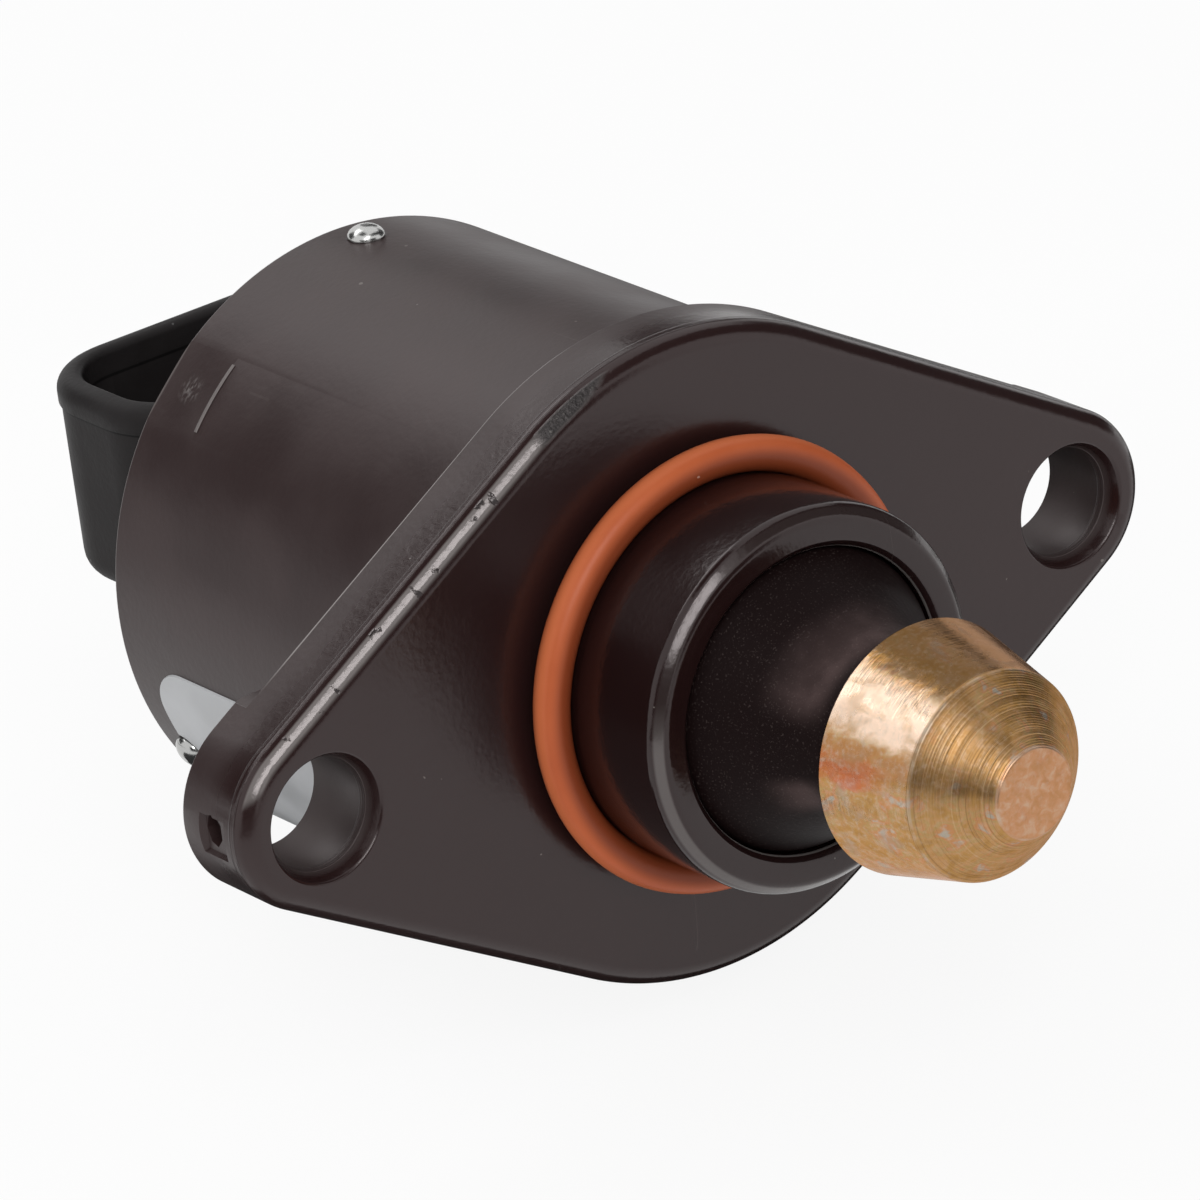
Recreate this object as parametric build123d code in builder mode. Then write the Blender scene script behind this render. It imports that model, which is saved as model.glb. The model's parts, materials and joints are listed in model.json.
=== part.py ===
from build123d import *
import os
from math import atan2, cos, degrees, radians, sin, sqrt

# Idle air control valve: a stepper motor that drives a tapered pintle through a lead screw.
# X runs along the two bolt holes, Y along the valve axis with the pintle towards -Y, and Z is up,
# the way the plug socket opens. The origin is the centre of the mounting face. Millimetres.

# Clearances
running_clearance = 0.04
seat_clearance = 0.01
slip_clearance = 0.05
end_clearance = 0.2

# Mounting flange
hole_spacing = 50.0
hole_radius = 3.0
lead_in_width = 0.45
lead_in_depth = 1.1
flange_radius = 18.1
ear_radius = 5.2
flange_thickness = 4.4
ear_thickness = 5.5
flange_edge = 0.75

# Scar of the moulding gate on one ear
gate_width = 2.8
gate_length = 2.6
gate_inset = 0.2
gate_depth = 0.35
gate_stub_depth = 0.5

# Motor barrel
barrel_radius = 17.0
barrel_wall = 1.9
barrel_length = 30.5
barrel_edge = 0.25
flat_angle = 134.0
flat_width = 4.2
flat_length = 4.45
flat_step = 0.06

# Nose spigot
nose_radius = 10.55
nose_length = 9.0
nose_wall = 2.25
nose_edge = 0.8
nose_root = 0.4
nose_lead_in = 0.36
nose_bore_depth = 8.0
bulkhead = 6.0

# Seal ring round the spigot
seal_section = 0.98
seal_offset = 1.39
seal_seat_depth = 0.08

# Pintle
pintle_reach = 26.5
tip_radius = 2.35
cone_length = 3.25
cone_radius = 5.6
pintle_radius = 6.83
pintle_length = 5.8
pintle_edge = 0.15
neck_radius = 4.1
neck_length = 3.25
spigot_radius = 1.9
spigot_length = 7.0

# Lead screw
screw_radius = 2.5
screw_flat = 2.05
screw_length = 30.7
screw_retract = 8.0

# Dust boot and the spring inside it
boot_wall = 0.65
boot_shoulder = 5.8
boot_waist = 6.1
boot_flare = 2.4
boot_bead = 1.3
spring_radius = 3.35
spring_wire = 0.3
spring_turns = 5

# Stepper motor stator
sheet = 0.8
claw_count = 6
claw_ratio = 0.631
claw_gap = 1.8
claw_root_width = 4.2
claw_tip_width = 2.0
bobbin_wall = 0.6
winding_gap = 0.4

# Rotor
air_gap = 0.4
hub_radius = 5.5
journal_radius = 3.95
bush_radius = 5.4
bush_length = 2.2
nut_length = 11.0
hub_relief = 2.9

# Rear ball bearing
bearing_bore = 4.0
bearing_radius = 8.0
bearing_width = 4.0
race_land = 1.3
ball_radius = 1.0
ball_count = 8
ball_clearance = 0.03
cage_wall = 0.8
washer_height = 0.5
washer_sheet = 0.2

# Cap and plug socket
plug_length = 6.0
cap_overhang = 1.5
cap_groove_width = 1.5
cap_groove_depth = 1.0
cap_groove_inset = 0.9
socket_width = 24.1
socket_depth = 12.8
socket_sink = 0.1
socket_top = 9.25
socket_height = 11.9
socket_corner = 4.9
socket_draft = 0.3
socket_wall = 1.4
socket_floor = 2.2
socket_round = 1.5
lip_height = 1.6
lip_width = 0.12
lip_round = 0.9
mouth_round = 0.4
latch_width = 5.0
latch_reach = 1.2
latch_height = 3.5
latch_drop = 2.2

# Socket blades
blade_count = 4
blade_pitch = 4.0
blade_width = 1.5
blade_sheet = 0.64
blade_sink = 2.0
tail_height = 10.5

# Retaining pins, first one at the top
pin_count = 3
pin_angle = 88.0
pin_inset = 2.5
pin_radius = 0.95
pin_depth = 3.3
pin_head = 1.15
pin_head_height = 0.6
pin_head_round = 0.45

# Label
label_angle = 210.0
label_length = 19.5
label_width = 13.2
label_corner = 2.8
label_inset = 2.45
label_sheet = 0.12
label_margin = 0.3

# Stations along the valve axis
bore_floor = nose_bore_depth - nose_length
chamber_front = bore_floor + bulkhead
bush_front = chamber_front - bush_length
stack_end = barrel_length - plug_length
half_length = (stack_end - chamber_front) / 2
stack_middle = chamber_front + half_length
cap_face = barrel_length + cap_overhang
socket_front = cap_face - socket_sink
pin_station = barrel_length - pin_inset
pintle_tip = -pintle_reach
cone_station = pintle_tip + cone_length
pintle_back = cone_station + pintle_length
neck_end = pintle_back + neck_length
screw_end = neck_end + screw_length
bearing_end = stack_end + bearing_width

# Radii that follow from the walls and clearances
chamber_radius = barrel_radius - barrel_wall
stator_radius = chamber_radius - slip_clearance
nose_bore = nose_radius - nose_wall
claw_inner = stator_radius * claw_ratio
claw_outer = claw_inner + sheet
claw_length = half_length - claw_gap
magnet_radius = claw_inner - air_gap
bobbin_bore = claw_outer + slip_clearance
bobbin_rim = stator_radius - sheet - slip_clearance
ball_circle = (bearing_bore + bearing_radius) / 2
pin_angles = [pin_angle + i * 360 / pin_count for i in range(pin_count)]
pieces = {}


def across(station):
    """Plane square to the valve axis, facing the rear, with its own Y axis up."""
    return Plane(origin=(0, station, 0), x_dir=(-1, 0, 0), z_dir=(0, 1, 0))


def outward(angle, station):
    """Plane through the valve axis that faces out at an angle, with its own X axis to the rear."""
    facing = (cos(radians(angle)), 0, sin(radians(angle)))
    return Plane(origin=(0, station, 0), x_dir=(0, 1, 0), z_dir=facing)


def on_nose(edge):
    """True for a circle of the spigot's own radius."""
    return abs(edge.radius - nose_radius) < seat_clearance


# Housing: flange, barrel and nose in one moulding
flat_plane = sqrt(barrel_radius**2 - (flat_width / 2) ** 2) - flat_step
with BuildPart() as housing:
    with BuildSketch(across(0)):
        Circle(flange_radius)
        with GridLocations(hole_spacing, 0, 2, 1):
            Circle(ear_radius)
        make_hull()
    extrude(amount=flange_thickness)
    fillet(housing.edges().group_by(Axis.Y)[0], flange_edge)
    with BuildSketch(across(flange_thickness)):
        with GridLocations(hole_spacing, 0, 2, 1):
            Circle(ear_radius)
    extrude(amount=ear_thickness - flange_thickness)
    with BuildSketch(across(0)):
        Circle(barrel_radius)
    extrude(amount=barrel_length)
    fillet(housing.edges().group_by(Axis.Y)[-1], barrel_edge)
    with BuildSketch(across(0)):
        Circle(nose_radius)
    extrude(amount=-nose_length)
    fillet(housing.edges().group_by(Axis.Y)[0], nose_edge)
    nose_edges = housing.edges().filter_by(GeomType.CIRCLE).filter_by(on_nose)
    fillet(nose_edges.sort_by(Axis.Y)[-1], nose_root)
    with BuildSketch(across(-seal_offset - seal_section)):
        Circle(nose_radius + seal_section)
        Circle(nose_radius - seal_seat_depth, mode=Mode.SUBTRACT)
    extrude(amount=2 * seal_section, mode=Mode.SUBTRACT)
    with BuildSketch(across(-nose_length)):
        Circle(nose_bore)
    extrude(amount=nose_bore_depth, mode=Mode.SUBTRACT)
    rim_edges = housing.edges().filter_by(GeomType.CIRCLE).group_by(Axis.Y)[0]
    chamfer(rim_edges.sort_by(SortBy.RADIUS)[0], nose_lead_in)
    with BuildSketch(across(chamber_front)):
        Circle(chamber_radius)
    extrude(amount=barrel_length - chamber_front, mode=Mode.SUBTRACT)
    with BuildSketch(across(bush_front)):
        Circle(bush_radius + seat_clearance)
    extrude(amount=bush_length, mode=Mode.SUBTRACT)
    with BuildSketch(across(bore_floor)):
        Circle(screw_radius + running_clearance)
        guide_flat = 2 * (screw_flat + running_clearance)
        Rectangle(4 * screw_radius, guide_flat, mode=Mode.INTERSECT)
    extrude(amount=bulkhead, mode=Mode.SUBTRACT)
    with BuildSketch(across(0)):
        with GridLocations(hole_spacing, 0, 2, 1):
            Circle(hole_radius + lead_in_width)
    lead_in_taper = degrees(atan2(lead_in_width, lead_in_depth))
    extrude(amount=lead_in_depth, taper=lead_in_taper, mode=Mode.SUBTRACT)
    with BuildSketch(across(0)):
        with GridLocations(hole_spacing, 0, 2, 1):
            Circle(hole_radius)
    extrude(amount=ear_thickness, mode=Mode.SUBTRACT)
    with BuildSketch(*[outward(angle, pin_station) for angle in pin_angles]):
        Circle(pin_radius + seat_clearance)
    extrude(amount=barrel_radius, mode=Mode.SUBTRACT)
    with BuildSketch(outward(flat_angle, barrel_length).offset(flat_plane)):
        Rectangle(flat_length, 2 * flat_width, align=(Align.MAX, Align.CENTER))
    extrude(amount=barrel_radius, mode=Mode.SUBTRACT)
    gate_station = flange_thickness - gate_inset - gate_length / 2
    gate_plane = outward(180, gate_station).offset(hole_spacing / 2 + ear_radius - gate_depth)
    with BuildSketch(gate_plane):
        Rectangle(gate_length, gate_width)
    extrude(amount=ear_radius, mode=Mode.SUBTRACT)
    with BuildSketch(gate_plane):
        Rectangle(gate_length / 2, gate_width / 2)
    extrude(amount=-gate_stub_depth, mode=Mode.SUBTRACT)
pieces["housing"] = housing.part

# Seal ring in its seat at the foot of the nose
with BuildPart() as nose_seal:
    with BuildSketch(Plane.XY):
        seal_circle = nose_radius - seal_seat_depth + seat_clearance + seal_section
        with Locations((seal_circle, -seal_offset)):
            Circle(seal_section)
    revolve(axis=Axis.Y)
pieces["nose_seal"] = nose_seal.part

# Pintle: tapered head and the neck that carries the boot
with BuildPart() as pintle:
    with BuildSketch(Plane.XY):
        with BuildLine():
            Polyline(
                (0, pintle_tip),
                (tip_radius, pintle_tip),
                (cone_radius, cone_station),
                (pintle_radius, pintle_back - pintle_edge),
                (pintle_radius - pintle_edge, pintle_back),
                (neck_radius, pintle_back),
                (neck_radius, neck_end),
                (0, neck_end),
                close=True,
            )
        make_face()
    revolve(axis=Axis.Y)
    with BuildSketch(across(neck_end)):
        Circle(spigot_radius + seat_clearance)
    extrude(amount=-spigot_length - end_clearance, mode=Mode.SUBTRACT)
pieces["pintle"] = pintle.part

# Lead screw: two flats keep it from turning in the bulkhead
with BuildPart() as lead_screw:
    with BuildSketch(across(neck_end)):
        Circle(screw_radius)
        Rectangle(4 * screw_radius, 2 * screw_flat, mode=Mode.INTERSECT)
    extrude(amount=screw_length)
    chamfer(lead_screw.edges().group_by(Axis.Y)[-1], (screw_radius - screw_flat) / 2)
    with BuildSketch(across(neck_end)):
        Circle(spigot_radius)
    extrude(amount=-spigot_length)
pieces["lead_screw"] = lead_screw.part

# Dust boot: collar on the neck, rounded shoulder, slim wall with a rear flare, and a bead in the nose bore
boot_collar = neck_radius + seat_clearance
boot_front = pintle_back + end_clearance
bead_front = bore_floor - boot_bead
bead_radius = nose_bore - seat_clearance
flare_front = bead_front - boot_flare
wall_slope = (boot_waist - boot_shoulder, flare_front - neck_end)
with BuildPart() as dust_boot:
    with BuildSketch(Plane.XY):
        with BuildLine():
            Line((boot_collar, neck_end), (boot_collar, boot_front))
            Line((boot_collar, boot_front), (boot_collar + boot_wall, boot_front))
            Spline(
                (boot_collar + boot_wall, boot_front),
                (boot_shoulder, neck_end),
                tangents=((1, 0.6), wall_slope),
            )
            Line((boot_shoulder, neck_end), (boot_waist, flare_front))
            Spline(
                (boot_waist, flare_front),
                (bead_radius, bead_front),
                tangents=(wall_slope, (1, 0.5)),
            )
            Line((bead_radius, bead_front), (bead_radius, bore_floor))
            Line((bead_radius, bore_floor), (bead_radius - 2 * boot_wall, bore_floor))
            Line((bead_radius - 2 * boot_wall, bore_floor), (bead_radius - 2 * boot_wall, bead_front))
            Line((bead_radius - 2 * boot_wall, bead_front), (boot_waist - boot_wall, flare_front))
            Line((boot_waist - boot_wall, flare_front), (boot_collar, neck_end))
        make_face()
    revolve(axis=Axis.Y)
pieces["dust_boot"] = dust_boot.part

# Preload spring between the bulkhead and the pintle's neck
spring_front = neck_end + spring_wire + seat_clearance
spring_back = bore_floor - spring_wire - seat_clearance
with BuildPart() as preload_spring:
    with BuildLine() as coil:
        Helix(
            pitch=(spring_back - spring_front) / spring_turns,
            height=spring_back - spring_front,
            radius=spring_radius,
            center=(0, spring_front, 0),
            direction=(0, 1, 0),
        )
    with BuildSketch(coil.line ^ 0):
        Circle(spring_wire)
    sweep()
pieces["preload_spring"] = preload_spring.part


def claw_piece(root, facing, first_angle, rim, wall):
    """Steel pole piece: an end ring with claws bent along the axis, and a rolled wall if wall is set."""
    pitch = 360 / claw_count
    half_gap_root = claw_outer * sin(radians(pitch / 2)) - claw_root_width / 2
    half_gap_tip = claw_outer * sin(radians(pitch / 2)) - claw_tip_width / 2
    tip = facing * claw_length
    gap_root = (0, half_gap_root)
    gap_tip = (tip, half_gap_tip)
    with BuildPart() as piece:
        with BuildSketch(across(root)):
            Circle(claw_outer)
            Circle(claw_inner, mode=Mode.SUBTRACT)
        extrude(amount=tip)
        gaps = [outward(first_angle + (i + 0.5) * pitch, root) for i in range(claw_count)]
        with BuildSketch(*gaps):
            with BuildLine():
                gap_side = Line(gap_root, gap_tip)
                mirror(gap_side, about=Plane.XZ)
                Line(gap_root, (0, -half_gap_root))
                Line(gap_tip, (tip, -half_gap_tip))
            make_face()
        extrude(amount=stator_radius, mode=Mode.SUBTRACT)
        with BuildSketch(across(root)):
            Circle(rim)
            Circle(claw_inner, mode=Mode.SUBTRACT)
        extrude(amount=facing * sheet)
        if wall:
            with BuildSketch(across(root)):
                Circle(rim)
                Circle(rim - sheet, mode=Mode.SUBTRACT)
            extrude(amount=facing * wall)
    return piece.part


# Stator: two coils, each between a cup and a plate with claws that mesh, half a pole apart
claw_pitch = 360 / claw_count
plate_rim = stator_radius - sheet - seat_clearance
pieces["front_stator_cup"] = claw_piece(chamber_front, 1, 0, stator_radius, half_length)
pieces["front_stator_plate"] = claw_piece(stack_middle, -1, claw_pitch / 2, plate_rim, 0)
pieces["rear_stator_plate"] = claw_piece(stack_middle, 1, claw_pitch / 4, plate_rim, 0)
pieces["rear_stator_cup"] = claw_piece(stack_end, -1, -claw_pitch / 4, stator_radius, half_length)

# Coils: a spool and its winding in each half
spool_length = half_length - 2 * sheet - 2 * slip_clearance
for side, start in (("front", chamber_front), ("rear", stack_middle)):
    spool_front = start + sheet + slip_clearance
    with BuildPart() as bobbin:
        with BuildSketch(across(spool_front)):
            Circle(bobbin_rim)
            Circle(bobbin_bore, mode=Mode.SUBTRACT)
        extrude(amount=spool_length)
        with BuildSketch(across(spool_front + bobbin_wall)):
            Circle(bobbin_rim)
            Circle(bobbin_bore + bobbin_wall, mode=Mode.SUBTRACT)
        extrude(amount=spool_length - 2 * bobbin_wall, mode=Mode.SUBTRACT)
    pieces[side + "_bobbin"] = bobbin.part
    with BuildPart() as winding:
        with BuildSketch(across(spool_front + bobbin_wall + seat_clearance)):
            Circle(bobbin_rim - winding_gap)
            Circle(bobbin_bore + bobbin_wall + seat_clearance, mode=Mode.SUBTRACT)
        extrude(amount=spool_length - 2 * bobbin_wall - 2 * seat_clearance)
    pieces[side + "_winding"] = winding.part

# Rotor hub: nut for the screw, with a journal at each end
hub_front = bush_front + end_clearance
hub_shoulder = chamber_front + end_clearance
with BuildPart() as rotor_hub:
    with BuildSketch(Plane.XY):
        with BuildLine():
            Polyline(
                (0, hub_front),
                (journal_radius, hub_front),
                (journal_radius, hub_shoulder),
                (hub_radius, hub_shoulder),
                (hub_radius, stack_end),
                (bearing_bore - seat_clearance, stack_end),
                (bearing_bore - seat_clearance, bearing_end),
                (0, bearing_end),
                close=True,
            )
        make_face()
    revolve(axis=Axis.Y)
    with BuildSketch(across(hub_front)):
        Circle(screw_radius + running_clearance)
    extrude(amount=nut_length, mode=Mode.SUBTRACT)
    with BuildSketch(across(hub_front + nut_length)):
        Circle(hub_relief)
    relief_end = screw_end + screw_retract + end_clearance
    extrude(amount=relief_end - hub_front - nut_length, mode=Mode.SUBTRACT)
pieces["rotor_hub"] = rotor_hub.part

# Ring magnet on the hub
with BuildPart() as rotor_magnet:
    with BuildSketch(across(chamber_front + sheet)):
        Circle(magnet_radius)
        Circle(hub_radius + seat_clearance, mode=Mode.SUBTRACT)
    extrude(amount=2 * half_length - 2 * sheet)
    chamfer(rotor_magnet.edges().filter_by(GeomType.CIRCLE).sort_by(SortBy.RADIUS)[-2:], air_gap)
pieces["rotor_magnet"] = rotor_magnet.part

# Plain bush in the bulkhead
with BuildPart() as front_bush:
    with BuildSketch(across(bush_front)):
        Circle(bush_radius)
        Circle(journal_radius + running_clearance, mode=Mode.SUBTRACT)
    extrude(amount=bush_length)
pieces["front_bush"] = front_bush.part

# Ball bearing in the cap: two grooved races, the balls and their cage
ball_station = stack_end + bearing_width / 2
for name, low, high in (
    ("bearing_inner_race", bearing_bore, bearing_bore + race_land),
    ("bearing_outer_race", bearing_radius - race_land, bearing_radius),
):
    with BuildPart() as race:
        with BuildSketch(across(stack_end)):
            Circle(high)
            Circle(low, mode=Mode.SUBTRACT)
        extrude(amount=bearing_width)
        with BuildSketch(Plane.XY):
            with Locations((ball_circle, ball_station)):
                Circle(ball_radius + ball_clearance)
        revolve(axis=Axis.Y, mode=Mode.SUBTRACT)
    pieces[name] = race.part
ball_angles = [i * 360 / ball_count for i in range(ball_count)]
with BuildPart() as bearing_balls:
    with Locations(*[outward(angle, ball_station).offset(ball_circle) for angle in ball_angles]):
        Sphere(ball_radius)
pieces["bearing_balls"] = bearing_balls.part
cage_length = 2 * ball_radius + 2 * ball_clearance + cage_wall
with BuildPart() as bearing_cage:
    with BuildSketch(across(ball_station - cage_length / 2)):
        Circle(ball_circle + cage_wall / 2)
        Circle(ball_circle - cage_wall / 2, mode=Mode.SUBTRACT)
    extrude(amount=cage_length)
    with BuildSketch(*[outward(angle, ball_station) for angle in ball_angles]):
        Circle(ball_radius + ball_clearance)
    extrude(amount=bearing_radius, mode=Mode.SUBTRACT)
pieces["bearing_cage"] = bearing_cage.part

# Conical washer that loads the bearing
washer_inner = bearing_radius - race_land
washer_outer = bearing_radius - end_clearance
washer_back = bearing_end + washer_height - seat_clearance
with BuildPart() as preload_washer:
    with BuildSketch(Plane.XY):
        with BuildLine():
            Polyline(
                (washer_outer, bearing_end + seat_clearance),
                (washer_outer, bearing_end + seat_clearance + washer_sheet),
                (washer_inner, washer_back),
                (washer_inner, washer_back - washer_sheet),
                close=True,
            )
        make_face()
    revolve(axis=Axis.Y)
pieces["preload_washer"] = preload_washer.part

# Socket blades: each runs down into the floor, forward, up behind the bearing and on to the coils
socket_middle = socket_front + socket_depth / 2
blade_top = socket_top - blade_sink
floor_level = socket_top - socket_height + socket_floor
leg_level = floor_level - socket_floor / 2
riser_station = (bearing_end + washer_height + cap_face) / 2
for i in range(blade_count):
    blade_x = (i - (blade_count - 1) / 2) * blade_pitch
    with BuildPart() as terminal:
        with BuildSketch(Plane.YZ.offset(blade_x)):
            low_align = (Align.CENTER, Align.MIN)
            with Locations((socket_middle, leg_level - blade_sheet / 2)):
                Rectangle(blade_sheet, blade_top - leg_level + blade_sheet / 2, align=low_align)
            with Locations(((riser_station + socket_middle) / 2, leg_level)):
                Rectangle(socket_middle - riser_station, blade_sheet)
            with Locations((riser_station, leg_level - blade_sheet / 2)):
                Rectangle(blade_sheet, tail_height - leg_level + blade_sheet, align=low_align)
            with Locations((stack_end + end_clearance, tail_height)):
                tail = riser_station - stack_end - end_clearance
                Rectangle(tail, blade_sheet, align=(Align.MIN, Align.CENTER))
        extrude(amount=blade_width / 2, both=True)
        chamfer(terminal.edges().group_by(Axis.Z)[-1].filter_by(Axis.Y), blade_sheet / 3)
    pieces[f"terminal_{i + 1}"] = terminal.part

# Cap: sealed plug in the barrel, with the upright socket moulded on its back
cap_groove_station = stack_end + cap_groove_inset
with BuildPart() as connector_cap:
    with BuildSketch(Plane.XY.offset(socket_top)):
        with Locations((0, socket_middle)):
            RectangleRounded(socket_width, socket_depth, socket_corner)
    extrude(amount=-socket_height, taper=socket_draft)
    fillet(connector_cap.edges().group_by(Axis.Z)[0], socket_round)
    with BuildSketch(Plane.XY.offset(socket_top - lip_height)):
        with Locations((0, socket_middle)):
            lip_corner = socket_corner + lip_width
            RectangleRounded(socket_width + 2 * lip_width, socket_depth + 2 * lip_width, lip_corner)
    extrude(amount=lip_height)
    fillet(connector_cap.edges().group_by(Axis.Z)[-1], lip_round)
    with BuildSketch(across(stack_end)):
        Circle(stator_radius)
    extrude(amount=cap_face - stack_end)
    chamfer(connector_cap.edges().group_by(Axis.Y)[0], barrel_edge)
    with BuildSketch(across(cap_groove_station)):
        Circle(barrel_radius)
        Circle(stator_radius - cap_groove_depth, mode=Mode.SUBTRACT)
    extrude(amount=cap_groove_width, mode=Mode.SUBTRACT)
    with BuildSketch(across(cap_face)):
        with Locations((0, socket_top - lip_height)):
            bridge_height = socket_height - lip_height - socket_round
            Rectangle(socket_width - 2 * socket_corner, bridge_height, align=(Align.CENTER, Align.MAX))
    extrude(amount=socket_wall)
    latch_top = socket_top - latch_drop
    latch_back = socket_front + socket_depth
    with BuildSketch(Plane.YZ):
        with BuildLine():
            Polyline(
                (latch_back - socket_wall / 2, latch_top),
                (latch_back, latch_top),
                (latch_back + latch_reach, latch_top - latch_height + latch_reach),
                (latch_back + latch_reach, latch_top - latch_height),
                (latch_back - socket_wall / 2, latch_top - latch_height),
                close=True,
            )
        make_face()
    extrude(amount=latch_width / 2, both=True)
    with BuildSketch(Plane.XY.offset(socket_top)):
        with Locations((0, socket_middle)):
            mouth_corner = socket_corner - socket_wall
            RectangleRounded(socket_width - 2 * socket_wall, socket_depth - 2 * socket_wall, mouth_corner)
    extrude(amount=floor_level - socket_top, mode=Mode.SUBTRACT)
    rim_edges = connector_cap.faces().sort_by(Axis.Z)[-1].inner_wires().edges()
    fillet(rim_edges, mouth_round)
    with BuildSketch(across(stack_end)):
        Circle(bearing_radius + seat_clearance)
    extrude(amount=bearing_width + washer_height, mode=Mode.SUBTRACT)
    pin_floor = chamber_radius - pin_depth
    with BuildSketch(*[outward(angle, pin_station).offset(pin_floor) for angle in pin_angles]):
        Circle(pin_radius + seat_clearance)
    extrude(amount=barrel_radius, mode=Mode.SUBTRACT)
    for i in range(blade_count):
        add(pieces[f"terminal_{i + 1}"], mode=Mode.SUBTRACT)
pieces["connector_cap"] = connector_cap.part

# Seal ring in the cap's groove
cap_seal_gap = (chamber_radius - stator_radius + cap_groove_depth) / 2
with BuildPart() as cap_seal:
    with BuildSketch(Plane.XY):
        with Locations((chamber_radius - cap_seal_gap, cap_groove_station + cap_groove_width / 2)):
            Circle(cap_seal_gap - seat_clearance)
    revolve(axis=Axis.Y)
pieces["cap_seal"] = cap_seal.part

# Retaining pins through the barrel into the cap
pin_root = pin_floor + end_clearance
pin_seat = barrel_radius + seat_clearance
for i, angle in enumerate(pin_angles):
    with BuildPart() as retaining_pin:
        with BuildSketch(outward(angle, pin_station).offset(pin_root)):
            Circle(pin_radius)
        extrude(amount=pin_seat - pin_root)
        with BuildSketch(outward(angle, pin_station).offset(pin_seat)):
            Circle(pin_head)
        extrude(amount=pin_head_height)
        fillet(retaining_pin.edges().sort_by_distance((0, pin_station, 0))[-1], pin_head_round)
    pieces[f"retaining_pin_{i + 1}"] = retaining_pin.part

# Label on the barrel, cut out round a pin head
label_inner = barrel_radius + seat_clearance
label_middle = barrel_length - label_inset - label_length / 2
with BuildPart() as label:
    with BuildSketch(across(label_middle - label_length / 2)):
        Circle(label_inner + label_sheet)
        Circle(label_inner, mode=Mode.SUBTRACT)
    extrude(amount=label_length)
    with BuildSketch(outward(label_angle, label_middle)):
        RectangleRounded(label_length, label_width, label_corner)
    extrude(amount=2 * barrel_radius, mode=Mode.INTERSECT)
    with BuildSketch(outward(pin_angles[1], pin_station)):
        Circle(pin_head + label_margin)
    extrude(amount=2 * barrel_radius, mode=Mode.SUBTRACT)
pieces["label"] = label.part

os.makedirs("parts", exist_ok=True)
for name, piece in pieces.items():
    piece.label = name
    export_step(piece, f"parts/{name}.step")
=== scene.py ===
# %% [markdown]
# # Idle air control valve
# This valve bolts to a throttle body and lets a metered stream of air past the closed throttle. A small
# stepper motor in the barrel turns a nut, the nut drives a screw, and the screw moves the plated pintle.
# The CAD part gives every piece its place. This lesson makes the pieces that the eye meets a second time,
# with the roundings and small marks of the real mouldings, and gives all pieces their finish. Sizes are in
# millimetres and are multiplied by MM where Blender wants metres.

import json
from math import acos, cos, pi, radians, sin, sqrt, tan, tau

import bmesh
import bpy
from mathutils import Matrix, Vector

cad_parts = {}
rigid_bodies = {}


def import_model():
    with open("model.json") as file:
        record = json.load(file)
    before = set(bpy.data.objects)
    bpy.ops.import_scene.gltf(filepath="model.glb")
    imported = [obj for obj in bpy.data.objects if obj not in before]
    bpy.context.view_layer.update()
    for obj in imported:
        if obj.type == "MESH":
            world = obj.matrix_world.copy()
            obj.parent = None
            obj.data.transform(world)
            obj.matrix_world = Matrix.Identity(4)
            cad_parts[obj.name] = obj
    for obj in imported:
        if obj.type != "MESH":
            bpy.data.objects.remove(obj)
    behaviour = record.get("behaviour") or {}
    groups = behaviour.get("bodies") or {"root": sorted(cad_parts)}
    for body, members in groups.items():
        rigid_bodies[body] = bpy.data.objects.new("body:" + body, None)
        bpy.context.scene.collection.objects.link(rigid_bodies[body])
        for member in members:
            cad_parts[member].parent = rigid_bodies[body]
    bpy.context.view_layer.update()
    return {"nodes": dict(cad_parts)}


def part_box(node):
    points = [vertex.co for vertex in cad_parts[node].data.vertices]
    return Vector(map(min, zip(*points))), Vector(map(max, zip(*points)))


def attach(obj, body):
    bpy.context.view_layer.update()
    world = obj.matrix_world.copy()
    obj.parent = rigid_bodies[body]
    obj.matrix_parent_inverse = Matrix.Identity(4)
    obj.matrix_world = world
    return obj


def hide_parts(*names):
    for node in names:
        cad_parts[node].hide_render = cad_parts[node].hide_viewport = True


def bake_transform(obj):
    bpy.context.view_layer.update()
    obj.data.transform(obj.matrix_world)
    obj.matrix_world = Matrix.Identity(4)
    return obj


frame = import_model()
nodes = frame["nodes"]
MM = 0.001

# %% [markdown]
# ## Tools for modelling
# Most of this valve was turned on a lathe or moulded in a round tool, so most pieces start as half a
# section that is spun round the valve axis. The section is drawn the way it is done by hand: one vertex,
# extruded from corner to corner, with the corners rounded by a vertex bevel. Drawing corners and rounding
# them afterwards keeps the outline short and every radius easy to change.


# %% Steps of edit mode
def leave_edit():
    bpy.ops.object.mode_set(mode="OBJECT")


def select_nothing():
    if bpy.context.mode != "OBJECT":
        leave_edit()
    bpy.ops.object.select_all(action="DESELECT")


def make_active(piece):
    select_nothing()
    piece.select_set(True)
    bpy.context.view_layer.objects.active = piece


def named(name):
    """Names the object that was just added."""
    piece = bpy.context.object
    piece.name = piece.data.name = name
    return piece


def edit(piece):
    make_active(piece)
    bpy.ops.object.mode_set(mode="EDIT")


def grab_all():
    bpy.ops.mesh.select_all(action="SELECT")


def face_outward():
    grab_all()
    bpy.ops.mesh.normals_make_consistent(inside=False)


def bevel(setback, segments, affect="EDGES"):
    bpy.ops.mesh.bevel(affect=affect, offset=setback * MM, segments=segments, profile=0.5)


def extrude(x, y, z):
    bpy.ops.mesh.extrude_region_move(TRANSFORM_OT_translate={"value": (x * MM, y * MM, z * MM)})


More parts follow.
